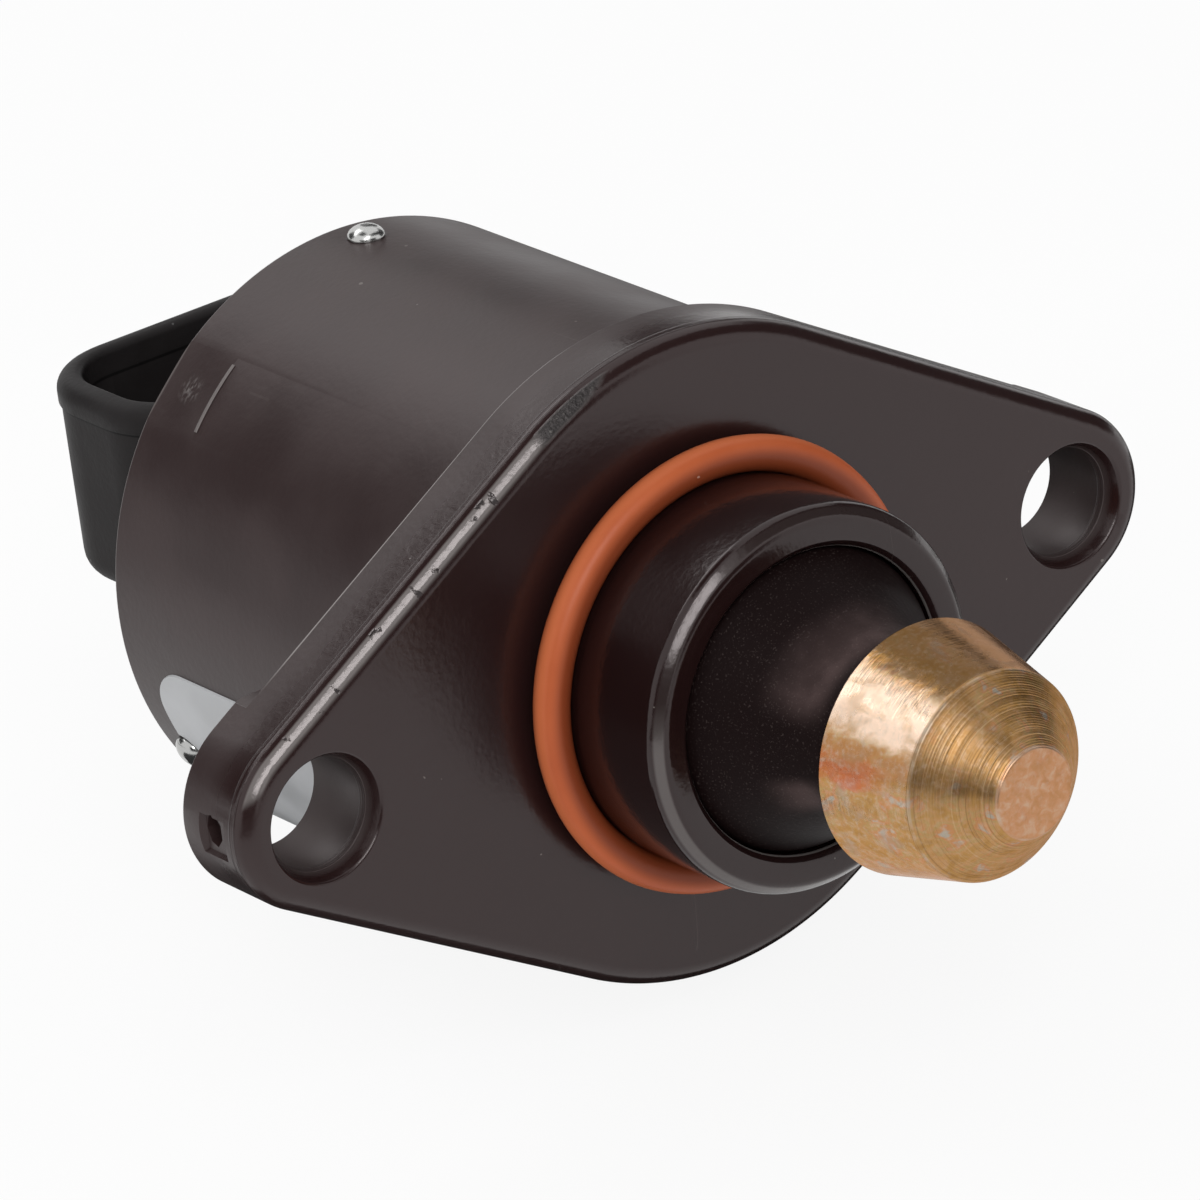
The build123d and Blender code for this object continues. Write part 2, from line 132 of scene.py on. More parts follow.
# %% Draw a section and round its corners
def pick(piece, kind, test):
    """Selects the vertices, edges or faces in edit mode whose middle, in millimetres, passes the test."""
    bpy.ops.mesh.select_mode(type={"verts": "VERT", "edges": "EDGE", "faces": "FACE"}[kind])
    bpy.ops.mesh.select_all(action="DESELECT")
    shape = bmesh.from_edit_mesh(piece.data)
    for part in getattr(shape, kind):
        corners = [part.co] if kind == "verts" else [corner.co for corner in part.verts]
        middle = sum(corners, Vector()) / len(corners) / MM
        if test(middle, part):
            part.select_set(True)
    bmesh.update_edit_mesh(piece.data)


def draw_path(name, places):
    """A chain of edges through places in millimetres, drawn by extruding one vertex."""
    select_nothing()
    bpy.ops.mesh.primitive_plane_add(size=MM)
    piece = named(name)
    bpy.ops.object.mode_set(mode="EDIT")
    bpy.ops.mesh.select_mode(type="VERT")
    bpy.ops.mesh.merge(type="CENTER")
    bpy.ops.transform.translate(value=places[0] * MM)
    for here, there in zip(places, places[1:]):
        bpy.ops.mesh.extrude_vertices_move(TRANSFORM_OT_translate={"value": (there - here) * MM})
    return piece


def draw_section(name, corners, rounds=()):
    """Half a section through (radius, station) corners, closed unless both its ends lie on the axis.

    rounds lists (corner number, setback, segments).
    """
    places = [Vector((radius, station, 0)) for radius, station in corners]
    piece = draw_path(name, places)
    if corners[0][0] > 0 or corners[-1][0] > 0:
        ends = (places[0], places[-1])
        pick(piece, "verts", lambda spot, _: min((spot - end).length for end in ends) < 1e-4)
        bpy.ops.mesh.edge_face_add()
    for number, setback, segments in rounds:
        pick(piece, "verts", lambda spot, _: (spot - places[number]).length < 1e-4)
        bevel(setback, segments, "VERTICES")
    return piece


# %% Spin the section
def spin_round(piece, steps, angle=tau):
    """Spins the section round the valve axis and closes the shell."""
    grab_all()
    bpy.ops.mesh.spin(steps=steps, angle=angle, center=(0, 0, 0), axis=(0, 1, 0), use_auto_merge=True)
    grab_all()
    bpy.ops.mesh.remove_doubles(threshold=1e-4 * MM)
    face_outward()
    leave_edit()
    return piece


def turned(name, corners, rounds=(), steps=160):
    return spin_round(draw_section(name, corners, rounds), steps)


def cylinder(name, radius, foot, top, steps):
    """A plain plug along the valve axis."""
    return turned(name, [(0, foot), (radius, foot), (radius, top), (0, top)], steps=steps)


def part_turned(name, corners, rounds, angle, turn, steps):
    """Spins a filled section through part of a turn, with the middle of the strip at an angle."""
    strip = draw_section(name, corners, rounds)
    grab_all()
    bpy.ops.mesh.edge_face_add()
    spin_round(strip, steps, turn)
    sense = 1 if sum(spot.co.z for spot in strip.data.vertices) > 0 else -1
    return place(strip, Matrix.Rotation(sense * turn / 2 - angle, 4, "Y"))


# %% [markdown]
# ## Joining and cutting
# Where a moulding is more than one round form, the forms are joined with a Boolean modifier, and holes are
# cut with a plug of the hole's own shape. The plug is thrown away afterwards. Finished pieces are shaded
# smooth up to an angle, and a Weighted Normal modifier keeps the flat faces flat beside their roundings.


# %% Join, cut and place
def combine(piece, other, operation):
    modifier = piece.modifiers.new(operation.lower(), "BOOLEAN")
    modifier.object = other
    modifier.operation = operation
    modifier.solver = "EXACT"
    make_active(piece)
    bpy.ops.object.modifier_apply(modifier=modifier.name)
    bpy.data.objects.remove(other)


def place(piece, matrix):
    """Moves a piece and puts the move into its mesh, so that its object stays at the origin."""
    make_active(piece)
    piece.matrix_world = matrix
    bpy.ops.object.transform_apply()
    return piece


def outward(angle, station):
    """Turns a piece that was spun round Y so that its own axis points out of the barrel at an angle."""
    turn = Matrix.Rotation(pi / 2 - angle, 4, "Y") @ Matrix.Rotation(pi / 2, 4, "X")
    return Matrix.Translation((0, station * MM, 0)) @ turn


def block(name, size, middle):
    select_nothing()
    bpy.ops.mesh.primitive_cube_add(size=MM)
    piece = named(name)
    piece.scale = size
    piece.location = Vector(middle) * MM
    bpy.ops.object.transform_apply()
    return piece


# %% Copy, shade and fit
def copy_of(piece, name):
    make_active(piece)
    bpy.ops.object.duplicate()
    return named(name)


def merged_copy(node, name):
    """A free copy of a CAD node, with the split corners of its mesh merged."""
    twin = copy_of(node, name)
    bpy.ops.object.parent_clear(type="CLEAR_KEEP_TRANSFORM")
    edit(twin)
    grab_all()
    bpy.ops.mesh.remove_doubles(threshold=1e-4 * MM)
    leave_edit()
    return twin


def shade(piece, angle=35):
    make_active(piece)
    bpy.ops.object.shade_smooth_by_angle(angle=radians(angle))
    modifier = piece.modifiers.new("flat_faces", "WEIGHTED_NORMAL")
    modifier.keep_sharp = True
    bpy.ops.object.modifier_apply(modifier=modifier.name)
    shape = bmesh.new()
    shape.from_mesh(piece.data)
    triangles = sum(len(face.verts) - 2 for face in shape.faces)
    open_edges = sum(len(edge.link_faces) != 2 for edge in shape.edges)
    shape.free()
    print(piece.name, triangles, "triangles", open_edges, "open edges")
    return piece


def fit_on(piece, body, node):
    """Puts a finished piece on its body, in place of its CAD node."""
    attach(piece, body)
    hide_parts(node)


# %% [markdown]
# ## Housing: barrel and nose
# The housing is one glass-filled moulding. Its round part, from the rim of the nose to the rear edge of
# the barrel, is a single spun section with the motor chamber inside. The step between nose and barrel
# lies inside the flange, so the two forms cross cleanly when they are joined.

# %% Spin the round part of the housing
housing_low, housing_high = (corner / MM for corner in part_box("housing"))
bush_low, bush_high = (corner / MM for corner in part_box("front_bush"))
barrel_radius = 17.0
barrel_length = housing_high.y
chamber_radius = barrel_radius - 1.9
chamber_front = bush_high.y
nose_radius = 10.55
nose_front = housing_low.y
nose_bore = nose_radius - 2.25
bore_floor = nose_front + 8.0
nose_lead_in = 0.36
nose_edge = 0.66
seal_section = 0.98
seal_station = -1.39
seal_seat = nose_radius - 0.08
bush_seat = bush_high.x + 0.01
guide_radius = 2.54
guide_flat = 2.09
foot_radius = nose_radius + 1.5
inside_flange = 2.0
over_face = 0.004

body_corners = [
    (nose_bore, nose_front + nose_lead_in),
    (nose_bore + nose_lead_in, nose_front),
    (nose_radius - nose_edge, nose_front),
    (nose_radius, nose_front + nose_edge),
    (nose_radius, seal_station - seal_section),
    (seal_seat, seal_station - seal_section),
    (seal_seat, seal_station + seal_section),
    (nose_radius, seal_station + seal_section),
    (nose_radius, over_face),
    (foot_radius, over_face),
    (foot_radius, inside_flange),
    (barrel_radius, inside_flange),
    (barrel_radius, barrel_length),
    (chamber_radius, barrel_length),
    (chamber_radius, chamber_front),
    (bush_seat, chamber_front),
    (bush_seat, bush_low.y),
    (guide_flat, bush_low.y),
    (guide_flat, bore_floor),
    (nose_bore, bore_floor),
]
nose_rounds = [(0, 0.07, 3), (1, 0.07, 3), (2, 0.24, 5), (3, 0.24, 5), (8, 0.4, 6)]
rear_rounds = [(12, 0.25, 5), (13, 0.1, 3)]
housing = turned("housing_moulding", body_corners, nose_rounds + rear_rounds, steps=192)
print("barrel radius", barrel_radius, "length", round(barrel_length, 2))

# %% [markdown]
# ## Housing: flange
# The flange is a rhomb of round lobes: one large arc round the barrel, a small arc round each bolt hole,
# and straight lines that touch both. The angle where a line leaves an arc follows from the two radii and
# the distance between their middles. The flat outline is filled, extruded and bevelled along its front
# edge. The plate is then cut back behind, all but a low boss on each ear where the bolt head sits.

# %% Draw and extrude the flange plate
ear_radius = 5.2
hole_offset = housing_high.x - ear_radius
flange_radius = 18.1
flange_thickness = 4.4
ear_thickness = 5.5
flange_edge = 0.75
flange_round = 0.40
ear_round = 0.15
lean = acos((flange_radius - ear_radius) / hole_offset)


def arc(middle, radius, first, last, steps):
    angles = [first + (last - first) * step / steps for step in range(steps + 1)]
    return [Vector((middle + radius * cos(angle), 0, radius * sin(angle))) for angle in angles]


outline = arc(hole_offset, ear_radius, -lean, lean, 40) + arc(0, flange_radius, lean, pi - lean, 44)
outline += [-spot for spot in outline]
flange = draw_path("flange_plate", outline)
grab_all()
bpy.ops.mesh.edge_face_add()
extrude(0, ear_thickness, 0)
face_outward()
pick(flange, "edges", lambda middle, _: middle.y < 0.01)
bevel(flange_edge, 1)
pick(flange, "edges", lambda middle, _: middle.y < 0.01 or abs(middle.y - flange_edge) < 0.01)
bevel(flange_round, 6)
pick(flange, "edges", lambda middle, _: middle.y > ear_thickness - 0.01)
bevel(ear_round, 3)
leave_edit()
print("flange leaves its large arc at", round(lean * 180 / pi, 1), "degrees")

# %% Cut the plate back between the ears and join the housing
boss_radius = ear_radius + 0.3
boss_foot, boss_top = 3, 9
back_depth = 4
plate_round = 0.12
back = block("back_cut", (80, back_depth, 50), (0, flange_thickness + back_depth / 2, 0))


def on_rear_edge(middle, edge):
    """True for the outer rear edge of the plate, which is convex; the feet of the bosses are not."""
    return abs(middle.y - flange_thickness) < 0.01 and edge.is_convex and edge.calc_face_angle(0) > 1


for side in (-1, 1):
    boss = cylinder("ear_boss", boss_radius, boss_foot, boss_top, 96)
    combine(back, place(boss, Matrix.Translation((side * hole_offset * MM, 0, 0))), "DIFFERENCE")
combine(flange, back, "DIFFERENCE")
edit(flange)
pick(flange, "edges", on_rear_edge)
bevel(plate_round, 2)
leave_edit()
combine(housing, flange, "UNION")
print("housing faces", len(housing.data.polygons))

# %% [markdown]
# ## Housing: holes and marks
# The bolt holes open to the front in a long lead-in. Three small holes near the rear edge take the
# retaining pins. A flat at the rear edge with a fine ridge along its front marks a tool insert, and the left
# ear shows a sunk square with a broken stub, the scar of the gate where the plastic ran in.

# %% Cut the bolt holes
hole_radius = 3.0
lead_in_width = 0.45
lead_in_depth = 1.1
lead_in = hole_radius + lead_in_width
front_flare = lead_in + 0.21
rear_flare = hole_radius + 0.12
hole_front, hole_back = -1.0, ear_thickness + 1.0
hole_corners = [
    (0, hole_front),
    (front_flare, hole_front),
    (front_flare, -0.04),
    (lead_in, 0.1),
    (hole_radius, lead_in_depth),
    (hole_radius, ear_thickness - 0.1),
    (rear_flare, ear_thickness + 0.02),
    (rear_flare, hole_back),
    (0, hole_back),
]
for side in (-1, 1):
    plug = turned("bolt_hole_plug", hole_corners, [(3, 0.08, 3), (4, 0.1, 3)], steps=96)
    place(plug, Matrix.Translation((side * hole_offset * MM, 0, 0)))
    combine(housing, plug, "DIFFERENCE")
print("bolt holes", round(2 * hole_offset, 2), "apart")

# %% Cut the pin holes
pin_radius = 0.95
pin_station = barrel_length - 2.5
pin_angles = [radians(88 + 120 * number) for number in range(3)]
pin_hole = pin_radius + 0.01
plug_foot, plug_top = 10, 20
for angle in pin_angles:
    plug = cylinder("pin_hole_plug", pin_hole, plug_foot, plug_top, 32)
    combine(housing, place(plug, outward(angle, pin_station)), "DIFFERENCE")
print("pin holes at", [round(angle * 180 / pi) for angle in pin_angles])

# %% Cut the screw guide
guide_front, guide_back = -3, 4
guide = cylinder("guide_plug", guide_radius, guide_front, guide_back, 48)
edit(guide)
for side in (-1, 1):
    grab_all()
    level = Vector((0, 0, side * guide_flat * MM))
    bpy.ops.mesh.bisect(plane_co=level, plane_no=(0, 0, side), use_fill=True, clear_outer=True)
leave_edit()
combine(housing, guide, "DIFFERENCE")
print("guide", 2 * guide_flat, "across its flats")

# %% Cut the flat and add its ridge
flat_angle = radians(134)
flat_width = 4.2
flat_length = 4.45
flat_level = sqrt(barrel_radius**2 - (flat_width / 2) ** 2) - 0.06
cut_height = 4.0
flat_middle = (flat_level + cut_height / 2, barrel_length - flat_length / 2 + 0.5, 0)
flat_cut = block("flat_cut", (cut_height, flat_length + 1.0, 2 * flat_width), flat_middle)
combine(housing, place(flat_cut, Matrix.Rotation(-flat_angle, 4, "Y")), "DIFFERENCE")
ridge_back = barrel_length - flat_length + 0.04
ridge_front = ridge_back - 0.24
ridge_root = barrel_radius - 0.4
ridge_top = barrel_radius + 0.09
ridge_corners = [
    (ridge_root, ridge_front),
    (ridge_top, ridge_front),
    (ridge_top, ridge_back),
    (ridge_root, ridge_back),
]
ridge = part_turned("flat_ridge", ridge_corners, [(1, 0.08, 3), (2, 0.05, 2)], flat_angle, radians(14), 12)
combine(housing, ridge, "UNION")
print("flat", flat_length, "long")

# %% Cut the gate scar
gate_width = 2.8
gate_length = 2.6
gate_depth = 0.35
gate_station = flange_thickness - 0.2 - gate_length / 2
gate_floor = -hole_offset - ear_radius + gate_depth
gate_flare = 0.6
gate_taper = 0.55
scar_size = (1.0, gate_length + gate_flare, gate_width + gate_flare)
scar = block("gate_scar", scar_size, (gate_floor - 0.5, gate_station, 0))
edit(scar)
pick(scar, "faces", lambda middle, _: middle.x > gate_floor - 0.01)
bpy.ops.transform.resize(value=(1, gate_taper, gate_taper))
leave_edit()
combine(housing, scar, "DIFFERENCE")
stub_corners = [(0, 0), (0.6, 0), (0.85, 1.2), (0, 1.2)]
stub = turned("gate_stub", stub_corners, steps=7)
stub_place = Matrix.Translation(Vector((gate_floor + 0.6, gate_station + 0.2, 0.25)) * MM)
stub_shape = Matrix.Rotation(pi / 2, 4, "Z") @ Matrix.Diagonal((0.9, 1, 1.3, 1))
combine(housing, place(stub, stub_place @ stub_shape), "DIFFERENCE")
shade(housing)
fit_on(housing, "valve_body", "housing")

# %% [markdown]
# ## Seal ring
# The ring is a moulded rubber torus. A torus primitive would be too perfect: a real ring shows the fine
# line where the two halves of its mould met. So the section is a circle with one tiny raised corner at
# the outside, spun round the axis.

# %% Spin the seal ring
ring_circle = seal_seat + 0.01 + seal_section
ring_steps = 36
mould_line = 0.015
ring_corners = []
for step in range(ring_steps):
    angle = tau * step / ring_steps
    ring_corners.append((ring_circle + seal_section * cos(angle), seal_station + seal_section * sin(angle)))
ring_corners[0] = (ring_circle + seal_section + mould_line, seal_station)
seal_ring = shade(turned("seal_ring", ring_corners, steps=192), angle=60)
fit_on(seal_ring, "valve_body", "nose_seal")

# %% [markdown]
# ## Pintle
# The pintle is turned steel: a tapered body, a blunt cone at the front with the marks of the lathe tool,
# and a small flat tip. The tool marks on the cone are real grooves here, worked out with a wave along the
# slope, so that the light breaks on them from every side.

# %% Spin the pintle
pintle_low, pintle_high = (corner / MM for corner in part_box("pintle"))
pintle_tip = pintle_low.y
pintle_radius = pintle_high.x
tip_radius = 2.35
cone_radius = 5.6
cone_station = pintle_tip + 3.25
pintle_back = cone_station + 5.8
neck_radius = 4.1
neck_end = pintle_high.y
screw_bore = 1.91
bore_end = neck_end - 7.2
groove_pitch = 0.14
groove_depth = 0.010

slope = Vector((cone_radius - tip_radius, cone_station - pintle_tip))
groove_count = int(slope.length / groove_pitch)
lift = Vector((slope.y, -slope.x)).normalized() * groove_depth


def groove_place(step):
    """A point on the cone; depth and pitch wander a little, as the tool did."""
    along = Vector((tip_radius, pintle_tip)) + slope * (step / (4 * groove_count))
    depth = sin(step * pi / 2) * (0.7 + 0.3 * sin(step * 0.37)) + 0.1 * sin(step * 0.113)
    return along + lift * depth


cone = [tuple(groove_place(step)) for step in range(3, 4 * groove_count - 3)]
pintle_corners = [
    (0, pintle_tip + 0.02),
    (0.5, pintle_tip),
    (tip_radius, pintle_tip),
    *cone,
    (cone_radius, cone_station),
    (pintle_radius, pintle_back - 0.15),
    (pintle_radius - 0.15, pintle_back),
    (neck_radius, pintle_back),
    (neck_radius, neck_end),
    (screw_bore, neck_end),
    (screw_bore, bore_end),
    (0, bore_end),
]
shoulder = 3 + len(cone)
pintle_rounds = [(2, 0.18, 4), (shoulder, 0.06, 3), (shoulder + 1, 0.06, 3), (shoulder + 2, 0.06, 3)]
pintle = shade(turned("pintle_head", pintle_corners, pintle_rounds, steps=160), angle=40)
fit_on(pintle, "pintle_stem", "pintle")
print("grooves on the cone", groove_count)

# %% [markdown]
# ## Dust boot and spring
# The boot is a thin rubber bell between the neck of the pintle and the nose bore, which it lines, and a light
# spring stands inside it. Both are squeezed when the pintle draws back. The boot is a new spun section. The
# spring is a copy of the CAD coil, because it never shows.

# %% Spin the boot
boot_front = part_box("dust_boot")[0].y / MM
collar = neck_radius + 0.01
boot_wall = 0.65
bead = nose_bore - 0.01
bell_foot = neck_end - 0.2
bell_edge = nose_front + 0.8
boot_corners = [
    (collar, neck_end),
    (collar, boot_front),
    (collar + boot_wall, boot_front),
    (collar + boot_wall, bell_foot),
    (bead, bell_edge),
    (bead, bore_floor),
    (bead - boot_wall, bore_floor),
    (bead - boot_wall, bell_edge + 0.4),
]
boot_rounds = [(2, 0.3, 4), (3, 1.5, 10), (4, 0.5, 5)]
boot = draw_section("boot_skirt", boot_corners, boot_rounds)
grab_all()
bpy.ops.mesh.subdivide(number_cuts=3)
boot = shade(spin_round(boot, 128), angle=50)
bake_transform(boot)
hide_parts("dust_boot")

# %% Copy the spring
spring = shade(merged_copy(nodes["preload_spring"], "spring_coil"))
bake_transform(spring)
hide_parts("preload_spring")

# %% [markdown]
# ## Cap and plug socket
# The cap closes the barrel and carries the socket for the harness plug. The socket is modelled upwards
# from its floor, as it would be drawn by hand: a rounded rectangle, extruded with a little draft, widened
# for the lip, inset for the wall and pushed down for the mouth.

# %% Build the socket
cap_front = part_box("connector_cap")[0].y / MM
cap_face = barrel_length + 1.5
socket_width = 24.1
socket_depth = 12.8
socket_top = 9.25
socket_height = 11.9
socket_corner = 4.9
socket_front = cap_face - 0.1
socket_middle = socket_front + socket_depth / 2
socket_wall = 1.4
socket_floor = socket_top - socket_height + 2.2
socket_round = 1.5
lip_height = 1.6
lip_width = 0.12
lip_round = 0.9
mouth_round = 0.4
draft = tan(radians(0.3))


def wide(level):
    """Width and depth of the drafted socket at a level."""
    return Vector((socket_width, socket_depth)) - Vector((2, 2)) * (socket_top - level) * draft


def widen(old, new):
    bpy.ops.transform.resize(value=(new.x / old.x, new.y / old.y, 1))


socket_bottom = socket_top - socket_height
lip_level = socket_top - lip_height
select_nothing()
bpy.ops.mesh.primitive_plane_add(size=MM, location=(0, socket_middle * MM, socket_bottom * MM))
cap = named("socket_cap")
bpy.ops.object.transform_apply()
bpy.ops.object.mode_set(mode="EDIT")
grab_all()
bpy.ops.transform.resize(value=(*wide(socket_bottom), 1))
bevel(socket_corner, 14, "VERTICES")
grab_all()
extrude(0, 0, lip_level - socket_bottom)
widen(wide(socket_bottom), wide(lip_level))
lip_size = wide(socket_top) + Vector((2, 2)) * lip_width
extrude(0, 0, 0.1)
widen(wide(lip_level), lip_size)
extrude(0, 0, lip_height - 0.1)
pick(cap, "edges", lambda middle, _: middle.z > socket_top - 0.01)
bevel(lip_round, 8)
pick(cap, "faces", lambda middle, face: middle.z > socket_top - 0.01 and len(face.verts) > 8)
bpy.ops.mesh.inset(thickness=(socket_wall + lip_width - lip_round) * MM)
extrude(0, 0, socket_floor - socket_top)
pick(cap, "edges", lambda middle, edge: middle.z > socket_top - 0.01 and edge.calc_face_angle(0) > 1)
bevel(mouth_round, 5)
pick(cap, "edges", lambda middle, _: middle.z < socket_bottom + 0.01)
bevel(socket_round, 8)
face_outward()
leave_edit()
print("socket", socket_width, "by", socket_depth)

# %% Add the plug and the bridge
bearing_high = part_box("bearing_outer_race")[1] / MM
plug_radius = chamber_radius - 0.05
plug_edge = 0.25
bearing_seat = bearing_high.x + 0.01
seat_end = bearing_high.y + 0.5
groove_floor = plug_radius - 1.0
groove_front = cap_front + 0.9
groove_back = groove_front + 1.5
plug_corners = [
    (0, seat_end),
    (bearing_seat, seat_end),
    (bearing_seat, cap_front),
    (plug_radius - plug_edge, cap_front),
    (plug_radius, cap_front + plug_edge),
    (plug_radius, groove_front),
    (groove_floor, groove_front),
    (groove_floor, groove_back),
    (plug_radius, groove_back),
    (plug_radius, cap_face),
    (0, cap_face),
]
plug = turned("cap_plug", plug_corners, [(9, 0.3, 4)])
combine(cap, plug, "UNION")
bridge_size = (socket_width - 2 * socket_corner, 1.7, socket_height - lip_height - socket_round)
bridge_middle = (0, socket_front + 0.45, lip_level - bridge_size[2] / 2)
combine(cap, block("bridge", bridge_size, bridge_middle), "UNION")
print("cap faces", len(cap.data.polygons))

# %% Add the latch
latch_width = 5.0
latch_reach = 1.2
latch_height = 3.5
latch_top = socket_top - 2.2
latch_back = socket_front + socket_depth
latch_root = 0.7
latch_size = (latch_width, latch_reach + latch_root, latch_height)
latch_middle = (0, latch_back + latch_reach / 2 - latch_root / 2, latch_top - latch_height / 2)
latch = block("latch", latch_size, latch_middle)


def on_latch_top(middle, _):
    return middle.y > latch_back + 1 and middle.z > latch_top - 0.1 and abs(middle.x) < 1


edit(latch)
pick(latch, "edges", on_latch_top)
bpy.ops.transform.translate(value=(0, 0, (latch_reach - latch_height) * MM))
leave_edit()
combine(cap, latch, "UNION")
print("latch reaches", latch_reach, "out")

# %% Cut the pin seats and the slots of the blades
pin_floor = chamber_radius - 3.3
for angle in pin_angles:
    pin_plug = cylinder("pin_seat_plug", pin_hole, pin_floor, plug_top, 32)
    combine(cap, place(pin_plug, outward(angle, pin_station)), "DIFFERENCE")
for number in range(1, 5):
    combine(cap, merged_copy(nodes[f"terminal_{number}"], "blade_slot"), "DIFFERENCE")
shade(cap)
fit_on(cap, "valve_body", "connector_cap")

# %% [markdown]
# ## Retaining pins
# Three bright pins lock the cap in the barrel. Only their domed heads show. One pin is spun and turned out
# to its angle, and the other two are copies.

# %% Spin the pins
pin_seat = barrel_radius + 0.01
pin_root = pin_floor + 0.2
pin_head = 1.06
pin_crown = pin_seat + 0.68
pin_corners = [
    (0, pin_root),
    (pin_radius, pin_root),
    (pin_radius, pin_seat),
    (pin_head, pin_seat),
    (pin_head, pin_crown - 0.4),
    (0.5, pin_crown),
    (0, pin_crown),
]
pin_rounds = [(4, 0.3, 6), (5, 0.3, 6)]
first_pin = turned("pin_1", pin_corners, pin_rounds, steps=48)
pins = [first_pin] + [copy_of(first_pin, f"pin_{number}") for number in (2, 3)]
for number, (pin, angle) in enumerate(zip(pins, pin_angles), start=1):
    shade(place(pin, outward(angle, pin_station)), angle=50)
    fit_on(pin, "valve_body", f"retaining_pin_{number}")

# %% [markdown]
# ## Label
# The label is a thin film that follows the barrel. A narrow strip is spun through part of a turn, and what
# lies inside a rectangle with round corners is kept. It is cut out round the head of the second pin.

# %% Make the label
label_angle = radians(210)
label_length = 19.5
label_width = 13.2
label_corner = 2.8
label_margin = 2.45
label_film = 0.12
label_middle = barrel_length - label_margin - label_length / 2
label_inner = barrel_radius + 0.01
label_outer = label_inner + label_film
strip_front = label_middle - label_length / 2 - 1
strip_back = label_middle + label_length / 2 + 1
strip_corners = [
    (label_inner, strip_front),
    (label_outer, strip_front),
    (label_outer, strip_back),
    (label_inner, strip_back),
]
strip = part_turned("label_film", strip_corners, [], label_angle, radians(54), 48)
slot_cut = block("slot_cut", (8, label_length, label_width), (barrel_radius + 1, label_middle, 0))
edit(slot_cut)
pick(slot_cut, "edges", lambda middle, _: abs(middle.y - label_middle) > 1 and abs(middle.z) > 1)
bevel(label_corner, 12)
leave_edit()
combine(strip, place(slot_cut, Matrix.Rotation(-label_angle, 4, "Y")), "INTERSECT")
window_radius = pin_head + 0.3
window_foot, window_top = barrel_radius - 2, barrel_radius + 2
window = cylinder("pin_window", window_radius, window_foot, window_top, 48)
combine(strip, place(window, outward(pin_angles[1], pin_station)), "DIFFERENCE")
shade(strip)
fit_on(strip, "valve_body", "label")

# %% [markdown]
# ## Finishes
# Each finish is a Principled material with its pattern in Object coordinates, which are metres in the
# valve's own frame. A noise scale of 1000 therefore gives features of about a millimetre. A few short
# helpers put nodes in place and wire them, so that the materials below read like recipes. They all work
# on the node tree that was opened last, which is always called tree.


# %% Put and wire nodes
def feed(value, socket):
    """Wires another node's output to an input, or sets the input to a number or a colour."""
    if isinstance(value, bpy.types.NodeSocket):
        tree.links.new(value, socket)
    else:
        socket.default_value = value


def put(kind, **values):
    made = tree.nodes.new(kind)
    for name, value in values.items():
        feed(value, made.inputs[name])
    return made


def maths(operation, *terms):
    made = tree.nodes.new("ShaderNodeMath")
    made.operation = operation
    for term, socket in zip(terms, made.inputs):
        feed(term, socket)
    return made.outputs[0]


def product(first, *others):
    for other in others:
        first = maths("MULTIPLY", first, other)
    return first


def most(first, *others):
    for other in others:
        first = maths("MAXIMUM", first, other)
    return first


# %% Masks
def fade(value, start, end, low=0.0, high=1.0):
    """Runs smoothly from low to high while the value runs from start to end."""
    made = tree.nodes.new("ShaderNodeMapRange")
    made.interpolation_type = "SMOOTHSTEP"
    for term, socket in zip((value, start, end, low, high), made.inputs):
        feed(term, socket)
    return made.outputs["Result"]


def ramp(value, start, end, low=0.0, high=1.0):
    """A fade over a distance in millimetres."""
    return fade(value, start * MM, end * MM, low, high)


def band(value, low, high, soft):
    """1 between low and high, with soft ends, in millimetres."""
    rise = ramp(value, low - soft, low)
    return product(rise, ramp(value, high + soft, high))


def noise(spot, scale, detail=3.0, distortion=0.0):
    made = put("ShaderNodeTexNoise", Vector=spot, Scale=scale, Detail=detail, Distortion=distortion)
    return made.outputs["Fac"]


def stretch(spot, scale, turn=(0, 0, 0)):
    return put("ShaderNodeMapping", Vector=spot, Scale=scale, Rotation=turn).outputs["Vector"]


def measure(operation, *vectors):
    """The length of a vector, or the distance between two."""
    made = tree.nodes.new("ShaderNodeVectorMath")
    made.operation = operation
    for vector, socket in zip(vectors, made.inputs):
        feed(vector, socket)
    return made.outputs["Value"]


def near(spot, centre, far, close):
    """1 at a centre and 0 beyond a distance, in millimetres."""
    return ramp(measure("DISTANCE", spot, Vector(centre) * MM), far, close)


def axis_distance(spot):
    """Distance from the valve axis."""
    return measure("LENGTH", stretch(spot, (1, 0, 1)))


def axis_angle(across, height):
    """Angle round the valve axis, 0 at the left and a quarter turn at the top."""
    return maths("ARCTAN2", height, maths("MULTIPLY", across, -1))


# %% Colours, reliefs and finishes
def tint(share, first, second):
    """Mixes two colours."""
    made = tree.nodes.new("ShaderNodeMix")
    made.data_type = "RGBA"
    feed(share, made.inputs[0])
    for colour, socket in ((first, made.inputs[6]), (second, made.inputs[7])):
        feed(colour if isinstance(colour, bpy.types.NodeSocket) else (*colour, 1), socket)
    return made.outputs[2]


def paint(colour, *layers):
    """Lays tones over a colour, one after the other, each as far as its masks let it."""
    for tone, *masks in layers:
        colour = tint(product(*masks), colour, tone)
    return colour


def bump(*reliefs):
    """Turns heights of 0 to 1, each with the depth of its relief in millimetres, into a normal."""
    normal = None
    for height, depth in reliefs:
        made = put("ShaderNodeBump", Height=height, Distance=depth * MM, Strength=1.0)
        if normal is not None:
            tree.links.new(normal, made.inputs["Normal"])
        normal = made.outputs["Normal"]
    return normal


def new_finish(name):
    finish = bpy.data.materials.new(name)
    finish.use_nodes = True
    tree = finish.node_tree
    spot = tree.nodes.new("ShaderNodeTexCoord").outputs["Object"]
    return finish, tree, tree.nodes["Principled BSDF"].inputs, spot


